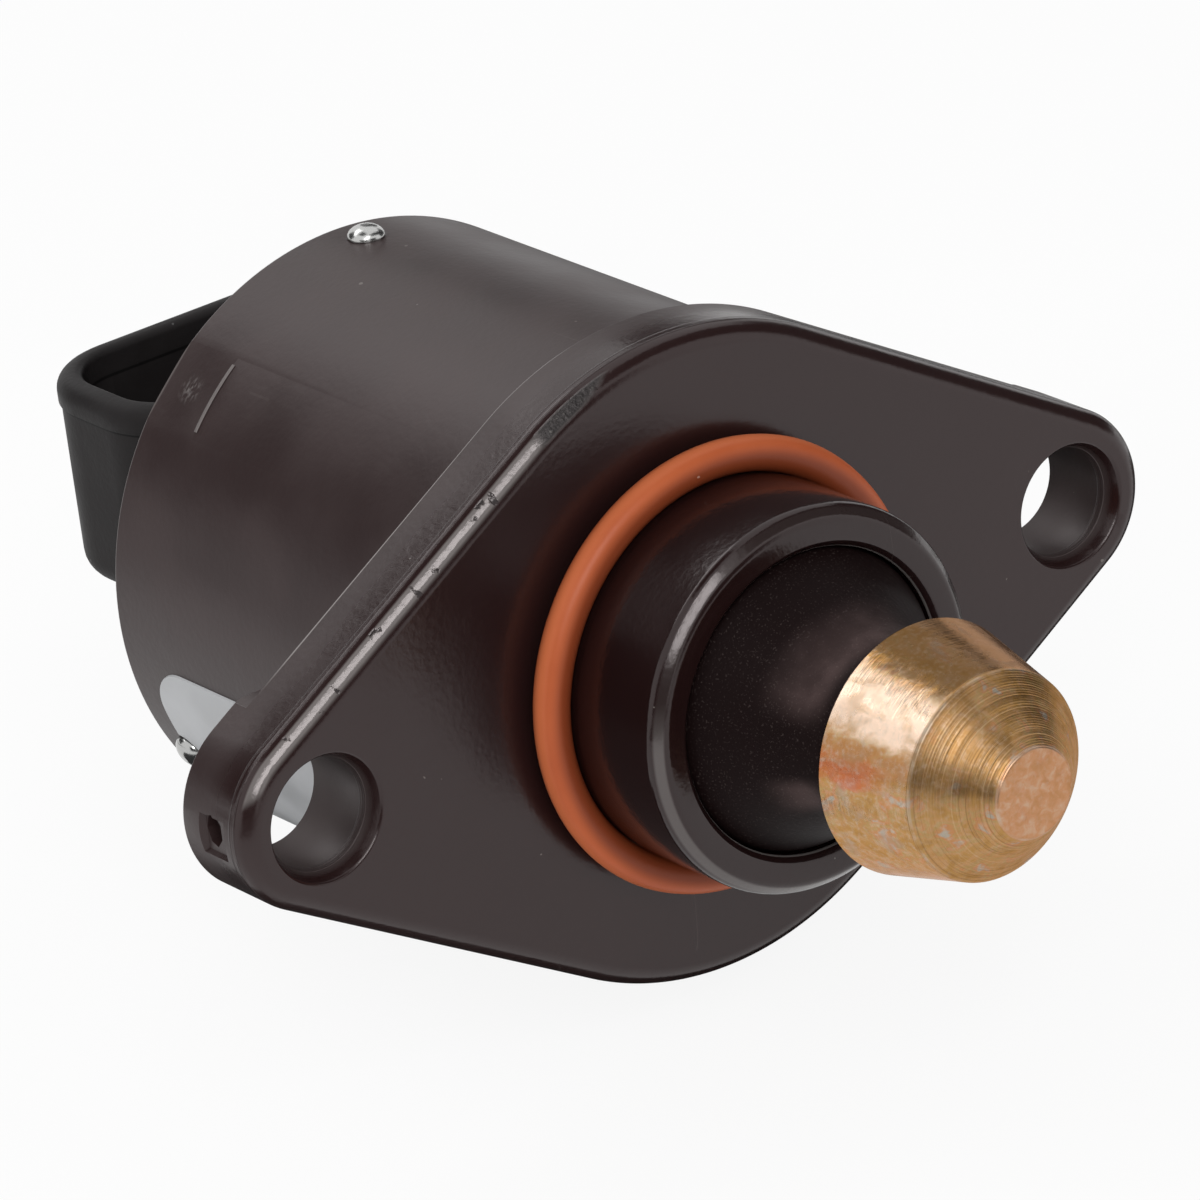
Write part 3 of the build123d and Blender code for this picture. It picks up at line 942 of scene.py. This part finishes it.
def dress(finish, *pieces):
    for piece in pieces:
        piece.data.materials.clear()
        piece.data.materials.append(finish)
    print(finish.name, "on", len(pieces))


# %% [markdown]
# ## Shared effects
# Dust, scratches and the skin of a moulding turn up on several pieces, so each is a node group that is
# built once. Dust is a sparse choice of Voronoi cells with a small spot in each. Scratches are thin contour
# lines of a stretched noise, kept only where a coarse noise is high. The skin is fine grain for the relief
# and a slow cloud that makes the gloss uneven.


# %% Make and use a group
def new_group(name, inputs, outputs):
    group = bpy.data.node_groups.new(name, "ShaderNodeTree")
    for label in inputs:
        kind = "NodeSocketVector" if label == "Spot" else "NodeSocketFloat"
        group.interface.new_socket(label, in_out="INPUT", socket_type=kind)
    for label in outputs:
        group.interface.new_socket(label, in_out="OUTPUT", socket_type="NodeSocketFloat")
    return group, group.nodes.new("NodeGroupInput").outputs, group.nodes.new("NodeGroupOutput").inputs


def effect(group, **values):
    made = tree.nodes.new("ShaderNodeGroup")
    made.node_tree = group
    for name, value in values.items():
        feed(value, made.inputs[name])
    return made.outputs


# %% Dust
tree, given, result = new_group("dust", ["Spot", "Scale", "Cover"], ["Mask"])
dust = tree
wobble = noise(given["Spot"], 2500.0, 2.0)
cells = put("ShaderNodeTexVoronoi", Vector=given["Spot"], Scale=given["Scale"])
chance = put("ShaderNodeSeparateColor", Color=cells.outputs["Color"]).outputs
size = product(fade(chance[1], 0, 1, 0.03, 0.09), fade(wobble, 0.3, 0.7, 0.3, 1.5))
speck = maths("LESS_THAN", cells.outputs["Distance"], size)
feed(product(speck, maths("LESS_THAN", chance[0], given["Cover"])), result["Mask"])
print("dust", len(tree.nodes), "nodes")

# %% Scratches
tree, given, result = new_group("scratch", ["Spot", "Scale", "Cover"], ["Mask"])
scratch = tree
lines = []
for turn in ((0.3, 0.1, 0.5), (1.1, 0.7, -0.4)):
    grain = noise(stretch(given["Spot"], (1, 0.03, 0.6), turn), given["Scale"], 0.0)
    offset = maths("ABSOLUTE", maths("SUBTRACT", grain, 0.5))
    where = noise(stretch(given["Spot"], (0.5, 0.5, 0.5), turn), given["Scale"], 2.0)
    kept = maths("GREATER_THAN", where, maths("SUBTRACT", 1, given["Cover"]))
    lines.append(product(maths("LESS_THAN", offset, 0.004), kept))
feed(most(*lines), result["Mask"])
print("scratch", len(tree.nodes), "nodes")

# %% Skin
tree, given, result = new_group("skin", ["Spot", "Grain"], ["Height", "Cloud"])
skin = tree
feed(noise(given["Spot"], given["Grain"], 4.0), result["Height"])
feed(fade(noise(given["Spot"], 170.0, 3.0), 0.3, 0.7), result["Cloud"])
print("skin", len(tree.nodes), "nodes")

# %% [markdown]
# ## Housing plastic
# The housing is a dark brown glass-filled nylon. The barrel is satin, the flange is smoother, and the nose,
# which the tool polished, is nearly glossy. All three come from the station along the axis. The upper left
# edge of the flange is glossy too, with a pale painted highlight that is partly rubbing wear, and it is
# nicked where hands and parts met it and scuffed dull in one spot. Two fine lines behind it show where the
# halves of the mould met. The flat near the rear edge has a pale smear with a pit. Its ridge, the rear edges
# of barrel and plate, and the rim and the lip of the nose carry painted highlights. Each of these places is a
# mask that is 1 there and 0 elsewhere.

# %% Find the places on the housing
finish, tree, shader, spot = new_finish("housing_plastic")
across, along, height = put("ShaderNodeSeparateXYZ", Vector=spot).outputs
from_axis = axis_distance(spot)
on_nose = ramp(along, 0.0, -0.6)
on_barrel = ramp(along, 1.2, 4.6)
surface = effect(skin, Spot=spot, Grain=2600.0)
specks = effect(dust, Spot=spot, Scale=900.0, Cover=0.08)["Mask"]
marks = effect(scratch, Spot=spot, Scale=260.0, Cover=0.34)["Mask"]
from_hole = put("ShaderNodeCombineXYZ", Y=height)
feed(maths("SUBTRACT", maths("ABSOLUTE", across), hole_offset * MM), from_hole.inputs["X"])
hole_gap = measure("LENGTH", from_hole.outputs[0])
in_hole = ramp(hole_gap, hole_radius + 0.3, hole_radius + 0.1)
flank = maths("MULTIPLY_ADD", across, -cos(lean), maths("MULTIPLY", height, sin(lean)))
on_flank = ramp(flank, flange_radius - 1.2, flange_radius - 0.8)
on_edge = product(on_flank, band(along, 0.18, 0.58, 0.12))
print("places on the housing", len(tree.nodes), "nodes")

# %% Find its wear and its painted highlights
nicks = fade(noise(stretch(spot, (1, 0.2, 1)), 1100.0, 4.0), 0.39, 0.33)
# Painted highlight on the upper left front edge of the flange, partly rubbing wear, broken by the nicks.
edge_highlight_and_wear = product(on_edge, maths("SUBTRACT", 1, nicks), 0.2)
# Painted highlight on the rear edge of the plate, on the upper left flank.
plate_edge_highlight = product(on_flank, band(along, flange_thickness - 0.1, flange_thickness, 0.04))
plate_edge_highlight = product(plate_edge_highlight, ramp(hole_gap, 5.5, 8.0))
scuff_angle = pi - lean - 0.17
scuff_radius = flange_radius - flange_edge / 2
scuff_place = (scuff_radius * cos(scuff_angle), flange_edge / 2, scuff_radius * sin(scuff_angle))
scuff = product(on_edge, near(spot, scuff_place, 3.2, 2.2))
# Painted highlight on the rear edge of the barrel.
rear_edge_highlight = product(
    ramp(along, barrel_length - 0.22, barrel_length - 0.1),
    ramp(from_axis, barrel_radius - 0.4, barrel_radius - 0.15),
)
# Painted highlight on the ridge before the flat.
ridge_highlight = product(
    ramp(from_axis, ridge_top - 0.06, ridge_top - 0.03),
    band(along, ridge_back - 0.3, ridge_back, 0.1),
)
# Painted highlight on the edge of the lead-in inside the nose.
lip_highlight = product(
    band(along, nose_front + nose_lead_in - 0.05, nose_front + nose_lead_in + 0.05, 0.04),
    ramp(from_axis, nose_bore + 0.3, nose_bore + 0.2),
)
# Painted highlight on the outer edge of the nose rim, stronger on its lower half.
rim_highlight = product(
    band(along, nose_front + 0.1, nose_front + nose_edge - 0.25, 0.15),
    ramp(from_axis, nose_radius - nose_edge, nose_radius - nose_edge + 0.15),
    ramp(height, 3.5, 0.5, 0.02, 0.13),
)
# All the painted highlights, with the rubbing wear of the flange edge, in one mask.
pale = most(edge_highlight_and_wear, product(most(ridge_highlight, lip_highlight), 0.2), rim_highlight, product(rear_edge_highlight, 0.12))
pale = most(pale, product(plate_edge_highlight, 0.36))
smear_place = (barrel_radius * cos(flat_angle), barrel_length - 2.2, barrel_radius * sin(flat_angle))
smear_noise = noise(stretch(spot, (1, 2, 1)), 2600.0, 5.0)
smear = product(near(spot, smear_place, 1.1, 0.2), fade(smear_noise, 0.44, 0.62))
pit = near(spot, smear_place, 0.14, 0.07)
print("wear on the housing", len(tree.nodes), "nodes")

# %% Colour, gloss and relief of the housing
crumbs = noise(spot, 4500.0, 4.0)
colour = paint(
    tint(on_nose, (0.0185, 0.0078, 0.0076), (0.0135, 0.0052, 0.0050)),
    ((0.033, 0.019, 0.0185), surface["Cloud"], on_barrel, 0.7),
    ((0.045, 0.033, 0.032), in_hole, 0.8),
    ((0.16, 0.14, 0.13), marks, 0.1),
    ((0.25, 0.23, 0.21), specks, 0.5),
    # Painted highlights and rubbing wear.
    ((0.60, 0.57, 0.55), pale),
    ((0.005, 0.004, 0.004), on_edge, nicks, 0.8),
    ((0.004, 0.003, 0.003), scuff, 0.95),
    ((0.16, 0.15, 0.14), scuff, fade(crumbs, 0.60, 0.70), 0.5),
    ((0.30, 0.28, 0.27), smear, 0.35),
    ((0.004, 0.003, 0.003), pit),
)
feed(colour, shader["Base Color"])
gloss = fade(on_barrel, 0, 1, 0.20, 0.36)
changes = ((on_nose, -0.06), (on_edge, -0.08), (in_hole, 0.2), (scuff, 0.25), (surface["Cloud"], 0.05))
for mask, change in changes:
    gloss = maths("MULTIPLY_ADD", mask, change, gloss)
feed(gloss, shader["Roughness"])
shader["Specular Tint"].default_value = (1, 0.92, 0.92, 1)
mould_lines = maths("ADD", band(along, 0.95, 1.0, 0.05), band(along, 1.3, 1.35, 0.05))
relief = bump(
    (surface["Height"], 0.012),
    (noise(spot, 700.0, 3.0), 0.008),
    (noise(spot, 150.0, 2.0), 0.035),
    (mould_lines, 0.03),
    (product(on_edge, nicks), -0.025),
    (product(scuff, crumbs), 0.12),
    (pit, -0.1),
)
feed(relief, shader["Normal"])
dress(finish, housing)

# %% [markdown]
# ## Cap, seal and boot
# The cap is a drier black plastic with a painted shade line under its lip. The seal ring is a brick-coloured
# silicone, with painted shade on its inner side towards the nose and a painted highlight at its outer edge.
# The boot is soft black rubber with fine dust. A painted sheen, partly dust, lies at the foot of its bell,
# over the pintle and in a smaller patch below.

# %% Make the cap plastic
finish, tree, shader, spot = new_finish("cap_plastic")
surface = effect(skin, Spot=spot, Grain=3200.0)
specks = effect(dust, Spot=spot, Scale=1100.0, Cover=0.12)["Mask"]
colour = tint(surface["Cloud"], (0.0137, 0.0117, 0.0120), (0.0208, 0.0185, 0.0187))
height = put("ShaderNodeSeparateXYZ", Vector=spot).outputs["Z"]
# Painted shade: a dark line under the lip of the socket.
lip_shade_line = band(height, lip_level - 0.05, lip_level + 0.06, 0.06)
colour = paint(colour, ((0.2, 0.2, 0.2), specks, 0.4), ((0.002, 0.002, 0.002), lip_shade_line, 0.8))
feed(colour, shader["Base Color"])
feed(fade(surface["Cloud"], 0, 1, 0.48, 0.60), shader["Roughness"])
shader["Specular IOR Level"].default_value = 0.14
feed(bump((surface["Height"], 0.02)), shader["Normal"])
dress(finish, cap)

# %% Make the seal rubber
finish, tree, shader, spot = new_finish("seal_rubber")
surface = effect(skin, Spot=spot, Grain=2000.0)
specks = effect(dust, Spot=spot, Scale=900.0, Cover=0.06)["Mask"]
colour = tint(surface["Cloud"], (0.45, 0.090, 0.025), (0.52, 0.114, 0.034))
from_axis = axis_distance(spot)
# Painted shade on the inner side of the ring, towards the nose, and a painted highlight on its outer flank.
inside = ramp(from_axis, ring_circle + 0.75, ring_circle - 0.05, 0.0, 0.9)
outside = ramp(from_axis, ring_circle + 0.75, ring_circle + 1.0, 0.0, 0.8)
colour = paint(
    colour,
    # Painted shade, then painted highlight.
    ((0.215, 0.041, 0.013), inside),
    ((0.64, 0.17, 0.065), outside),
    ((0.75, 0.55, 0.45), specks, 0.4),
)
feed(colour, shader["Base Color"])
shader["Roughness"].default_value = 0.40
shader["Specular IOR Level"].default_value = 0.28
feed(bump((surface["Height"], 0.012)), shader["Normal"])
dress(finish, seal_ring)

# %% Make the boot rubber
finish, tree, shader, spot = new_finish("boot_rubber")
surface = effect(skin, Spot=spot, Grain=3500.0)
across, along, height = put("ShaderNodeSeparateXYZ", Vector=spot).outputs
round_axis = axis_angle(across, height)
# Painted sheen, partly dust: lighter at the foot of the bell on its upper side and in a smaller patch below.
at_foot = product(
    ramp(along, bell_foot - 1.0, bell_foot + 0.3),
    ramp(along, bell_foot + 3.2, bell_foot + 0.6),
)
upper = product(fade(round_axis, 0.30, 0.75), fade(round_axis, 2.3, 1.5))
lower = product(fade(round_axis, -0.15, -0.35, 0.0, 0.8), fade(round_axis, -0.75, -0.50))
sheen_and_dust = product(at_foot, most(upper, lower))
grains = fade(noise(spot, 9000.0, 2.0), 0.60, 0.70)
patches = fade(noise(spot, 420.0, 4.0), 0.30, 0.65, 0.45, 1.0)
colour = paint(
    (0.0075, 0.0034, 0.0034),
    # Painted sheen, partly dust.
    ((0.150, 0.102, 0.098), sheen_and_dust, patches, 0.5),
    ((0.30, 0.24, 0.22), grains, patches, 0.10),
)
feed(colour, shader["Base Color"])
shader["Roughness"].default_value = 0.50
shader["Specular IOR Level"].default_value = 0.07
shader["Specular Tint"].default_value = (1, 0.92, 0.92, 1)
feed(bump((surface["Height"], 0.02)), shader["Normal"])
dress(finish, boot, nodes["cap_seal"])

# %% [markdown]
# ## Yellow zinc
# The plating on the pintle is a yellow chromate, which is a film thin enough to show colours of its own:
# gold, copper, a little olive and red, in patches that follow the crystals below. A mottled noise picks the
# colour along a row of such tones. Round the body lie long stains and painted bands, set by the angle round
# the axis: a red and copper stain along the left, the red partly a painted reflection, a painted highlight
# stripe above them, and olive on top, partly the film and partly a painted dark reflection, with a little
# grey and fine pale frost over all. The cone is painted darker where its highlight falls. Fine rings round
# the axis give the grain of the turning, strongest on the cone, and the flat tip is mottled copper.

# %% Choose the tones of the plating
finish, tree, shader, spot = new_finish("yellow_zinc")
across, along, height = put("ShaderNodeSeparateXYZ", Vector=spot).outputs
on_body = ramp(along, cone_station, cone_station + 0.3)
on_cone = product(
    fade(on_body, 1, 0),
    ramp(along, pintle_tip + 0.1, pintle_tip + 0.3),
)
film = noise(stretch(spot, (1, 0.7, 1)), 900.0, 8.0, 0.4)
tones = tree.nodes.new("ShaderNodeValToRGB")
stops = [
    (0.30, (0.40, 0.21, 0.07)),
    (0.42, (0.48, 0.27, 0.09)),
    (0.50, (0.53, 0.29, 0.125)),
    (0.55, (0.46, 0.30, 0.12)),
    (0.62, (0.56, 0.26, 0.115)),
    (0.69, (0.44, 0.40, 0.33)),
]
while len(tones.color_ramp.elements) < len(stops):
    tones.color_ramp.elements.new(1.0)
for element, (position, tone) in zip(tones.color_ramp.elements, stops):
    element.position = position
    element.color = (*tone, 1)
feed(film, tones.inputs["Fac"])
print("tones of the plating", len(stops))

# %% Find the stains, painted reflections, painted highlight and rings
round_axis = axis_angle(across, height)
wander = maths("MULTIPLY_ADD", maths("SUBTRACT", film, 0.5), 0.35, round_axis)
at_back = ramp(along, cone_station + 0.8, cone_station + 3.2)
# Red band on the left: partly a film stain, partly a painted reflection.
red = product(fade(wander, 0.06, 0.16), fade(wander, 0.38, 0.26), at_back)
copper = product(fade(wander, 0.16, 0.28), fade(wander, 0.52, 0.40), on_body)
# Olive on top: partly the film, partly a painted dark reflection.
olive = product(fade(wander, 1.06, 1.2), fade(wander, 2.6, 2.1), on_body)
# Painted highlight: a pale stripe on the upper left of the body.
bright = product(fade(wander, 0.46, 0.62), fade(wander, 1.13, 0.95), on_body)
grey = fade(noise(stretch(spot, (1, 0.8, 1)), 800.0, 9.0, 0.3), 0.50, 0.66)
frost = fade(noise(spot, 4200.0, 6.0), 0.45, 0.80)
corners = band(along, pintle_tip + 0.06, pintle_tip + 0.14, 0.05)
for station in (cone_station, pintle_back - 0.1):
    corners = maths("ADD", corners, band(along, station - 0.05, station + 0.06, 0.05))
# Painted shade on the cone where its highlight falls.
painted_cone_shade = product(fade(wander, 0.10, 0.35), fade(wander, 1.45, 1.20))
rings = noise(stretch(spot, (0.004, 1, 0.004)), 11000.0, 3.0)
at_tip = ramp(along, pintle_tip + 0.2, pintle_tip + 0.1)
mottle = noise(spot, 1900.0, 9.0, 0.6)
plain_cone = fade(on_cone, 0, 1, 1.0, 0.3)
# Tone of the olive, partly a painted dark reflection: darker towards the left of the top, lighter towards the
# right.
olive_tone = tint(fade(wander, 1.4, 1.9), (0.120, 0.064, 0.024), (0.235, 0.140, 0.085))
print("stains and rings", len(tree.nodes), "nodes")

# %% Colour, gloss and relief of the plating
colour = paint(
    tones.outputs["Color"],
    # Painted shade on the cone.
    ((0.20, 0.11, 0.042), on_cone, fade(painted_cone_shade, 0, 1, 0.1, 0.75)),
    ((0.62, 0.43, 0.25), on_cone, fade(rings, 0.55, 0.68), 0.32),
    ((0.14, 0.075, 0.03), on_cone, fade(rings, 0.45, 0.34), 0.4),
    ((0.54, 0.27, 0.145), at_tip, 0.85),
    ((0.60, 0.45, 0.33), plain_cone, fade(mottle, 0.48, 0.70), 0.45),
    ((0.42, 0.21, 0.08), plain_cone, fade(mottle, 0.52, 0.32), 0.45),
    ((0.42, 0.36, 0.31), grey, on_body, 0.3),
    # Olive film and painted dark reflection.
    (olive_tone, olive, 0.85),
    ((0.42, 0.19, 0.075), copper, 0.65),
    # Red stain and painted reflection.
    ((0.55, 0.12, 0.045), red, 0.6),
    # Painted highlight stripe.
    ((0.97, 0.73, 0.56), bright, fade(film, 0.35, 0.60, 0.5, 1.0)),
    ((0.66, 0.57, 0.50), frost, fade(olive, 1, 0, 0.3, 1.0), fade(on_body, 0, 1, 0.15, 0.3)),
    ((0.56, 0.48, 0.39), corners, fade(film, 0.35, 0.65, 0.0, 0.5)),
)
feed(colour, shader["Base Color"])
shader["Metallic"].default_value = 1.0
shader["Specular Tint"].default_value = (0.86, 0.67, 0.56, 1)
gloss = fade(on_body, 0, 1, 0.38, 0.22)
feed(maths("MULTIPLY_ADD", grey, 0.12, gloss), shader["Roughness"])
grain = product(rings, fade(on_body, 0, 1, 1.0, 0.25))
pits = product(noise(spot, 2400.0, 5.0), fade(on_body, 0, 1, 0.25, 1.0))
feed(bump((grain, 0.03), (pits, 0.014)), shader["Normal"])
dress(finish, pintle)

# %% [markdown]
# ## Bright steel and the rest
# Steel, copper and the plain plastics inside get one simple recipe: a colour that a cloud makes a little
# uneven, and a roughness that wanders with it.


# %% Make the simple finishes
def simple_finish(name, colour, metallic, roughness, *pieces):
    global tree
    finish, tree, shader, spot = new_finish(name)
    surface = effect(skin, Spot=spot, Grain=2500.0)
    darker = tuple(0.8 * part for part in colour)
    feed(tint(surface["Cloud"], darker, colour), shader["Base Color"])
    feed(fade(surface["Cloud"], 0, 1, roughness, roughness + 0.08), shader["Roughness"])
    shader["Metallic"].default_value = metallic
    feed(bump((surface["Height"], 0.006)), shader["Normal"])
    dress(finish, *pieces)


bearing_names = ("preload_washer", "bearing_outer_race", "bearing_inner_race", "bearing_balls")
bearing = [nodes[name] for name in bearing_names]
blades = [nodes[f"terminal_{number}"] for number in range(1, 5)]
poles = [nodes[name] for name in nodes if "stator" in name]
mouldings = [nodes[name] for name in ("front_bobbin", "rear_bobbin", "rotor_hub", "bearing_cage")]
simple_finish("bright_steel", (0.55, 0.55, 0.54), 1.0, 0.16, *pins, spring, nodes["lead_screw"], *bearing)
simple_finish("label_film", (0.55, 0.56, 0.575), 0.0, 0.36, strip)
simple_finish("tinned_brass", (0.70, 0.66, 0.58), 1.0, 0.26, *blades)
simple_finish("pole_steel", (0.45, 0.45, 0.46), 1.0, 0.36, *poles)
simple_finish("coil_copper", (0.60, 0.25, 0.12), 1.0, 0.30, nodes["front_winding"], nodes["rear_winding"])
simple_finish("natural_plastic", (0.70, 0.66, 0.56), 0.0, 0.42, *mouldings)
simple_finish("ferrite", (0.06, 0.06, 0.065), 0.0, 0.48, nodes["rotor_magnet"])
simple_finish("bronze", (0.48, 0.31, 0.16), 1.0, 0.42, nodes["front_bush"])

# %% [markdown]
# ## Studio
# The valve hangs just over a white floor. Camera and mirror rays see a white room. Dark flags stand round
# the valve and lie on the floor. Only mirror rays see them, and they put the dark bands into the metal and
# the gloss that a studio's unlit side gives.


# %% Floor and room
def see_white(plain, white, strength, output):
    """Mixes in a white shader for camera, mirror and glass rays, and wires the mix to the output node."""
    rays = tree.nodes.new("ShaderNodeLightPath").outputs
    seen = most(rays["Is Camera Ray"], rays["Is Glossy Ray"], rays["Is Transmission Ray"])
    mix = tree.nodes.new("ShaderNodeMixShader")
    feed(product(seen, strength), mix.inputs[0])
    tree.links.new(plain, mix.inputs[1])
    tree.links.new(white, mix.inputs[2])
    tree.links.new(mix.outputs[0], tree.nodes[output].inputs["Surface"])


floor_level = -flange_radius - 2.0
select_nothing()
bpy.ops.mesh.primitive_plane_add(size=6, location=(0, 0, floor_level * MM))
floor = bpy.context.object
floor.name = "floor"
finish, tree, shader, spot = new_finish("white_floor")
shader["Base Color"].default_value = (0.9, 0.9, 0.9, 1)
shader["Roughness"].default_value = 0.9
glow = put("ShaderNodeEmission", Color=(1, 1, 1, 1), Strength=1.0)
see_white(tree.nodes["Principled BSDF"].outputs[0], glow.outputs[0], 0.9, "Material Output")
dress(finish, floor)

world = bpy.data.worlds.new("white_room")
bpy.context.scene.world = world
world.use_nodes = True
tree = world.node_tree
room = tree.nodes["Background"]
room.inputs["Color"].default_value = (1, 1, 1, 1)
room.inputs["Strength"].default_value = 0.6
white = put("ShaderNodeBackground", Color=(1, 1, 1, 1), Strength=1.0)
see_white(room.outputs[0], white.outputs[0], 1.0, "World Output")
print("floor at", round(floor_level, 2))


# %% Lamps
def facing(direction, distance, along=(1, 0, 0)):
    """A place in a direction from the valve, turned to face it, with its own X axis towards along."""
    away = Vector(direction).normalized()
    side = (Vector(along) - away * away.dot(Vector(along))).normalized()
    turn = Matrix((side, away.cross(side), away)).transposed().to_4x4()
    return Matrix.Translation(away * distance) @ turn


def softbox(name, placing, size, power):
    select_nothing()
    bpy.ops.object.light_add(type="AREA")
    lamp = bpy.context.object
    lamp.name = name
    lamp.data.shape = "RECTANGLE"
    lamp.data.size, lamp.data.size_y = size
    lamp.data.energy = power
    lamp.matrix_world = placing
    print(name, power, "watts")


softbox("key_light", facing((-0.43, -0.66, 0.61), 0.6, (0.53, 0.04, 0.46)), (0.42, 0.12), 1.30)
softbox("sky_light", facing((-0.26, 0.60, 0.75), 0.6, (0.70, 0.0, 0.27)), (0.48, 0.20), 0.68)

# %% Flags
flag_finish, tree, shader, spot = new_finish("dark_flag")
shader["Base Color"].default_value = (0.05, 0.05, 0.05, 1)
shader["Roughness"].default_value = 1.0


def flag(name, placing, size):
    select_nothing()
    bpy.ops.mesh.primitive_plane_add(size=1)
    panel = bpy.context.object
    panel.name = name
    panel.matrix_world = placing @ Matrix.Diagonal((*size, 1, 1))
    panel.visible_camera = panel.visible_diffuse = panel.visible_shadow = False
    panel.visible_transmission = False
    dress(flag_finish, panel)
    return panel


def lying(x, y, turn):
    """A place on the floor, in millimetres, turned round by degrees."""
    return Matrix.Translation(Vector((x, y, floor_level + 0.5)) * MM) @ Matrix.Rotation(radians(turn), 4, "Z")


flags = [
    flag("back_flag", facing((-0.45, 0.78, 0.42), 0.5), (0.36, 0.32)),
    flag("left_flag", facing((-0.74, -0.62, 0.08), 0.6), (0.50, 0.46)),
    flag("top_flag", facing((0.62, -0.34, 0.70), 0.6, (0.73, 0.45, -0.51)), (0.80, 0.26)),
    flag("front_flag", facing((0.10, -0.95, 0.25), 0.6), (0.40, 0.28)),
    flag("right_flag", facing((0.62, 0.68, 0.42), 0.5), (0.20, 0.20)),
    flag("side_flag", facing((0.95, -0.05, 0.30), 0.6, (0, 1, 0)), (0.50, 0.40)),
    flag("roof_flag", facing((-0.25, 0.05, 0.97), 0.6), (0.30, 0.30)),
    flag("low_left_flag", lying(-194, -171, 38), (0.30, 0.20)),
    flag("low_right_flag", lying(72, 25, 0), (0.050, 0.050)),
    flag("far_left_flag", lying(-212, 262, 129), (0.30, 0.30)),
    flag("far_right_flag", lying(141, 181, 50), (0.25, 0.20)),
    flag("under_flag", lying(12, 20, 0), (0.095, 0.040)),
]

# %% [markdown]
# ## Camera
# The photograph looks at the nose from the front left, a little from above, with the camera rolled by a
# few degrees and a long lens.

# %% Place the camera
aim = Vector((-3.55, 4.28, 3.43)) * MM
distance = 461.75 * MM
azimuth = radians(34.83)
elevation = radians(23.26)
roll = radians(7.05)
lens = 264.04
toward = Vector((-sin(azimuth) * cos(elevation), -cos(azimuth) * cos(elevation), sin(elevation)))
select_nothing()
bpy.ops.object.camera_add()
camera = bpy.context.object
camera.data.sensor_width = 36
camera.data.lens = lens
camera.data.clip_start = 0.01
turn = toward.to_track_quat("Z", "Y").to_matrix().to_4x4() @ Matrix.Rotation(-roll, 4, "Z")
camera.matrix_world = Matrix.Translation(aim + toward * distance) @ turn
bpy.context.scene.camera = camera
bpy.context.scene.view_settings.view_transform = "Standard"
print("camera at", [round(part / MM) for part in camera.matrix_world.translation])
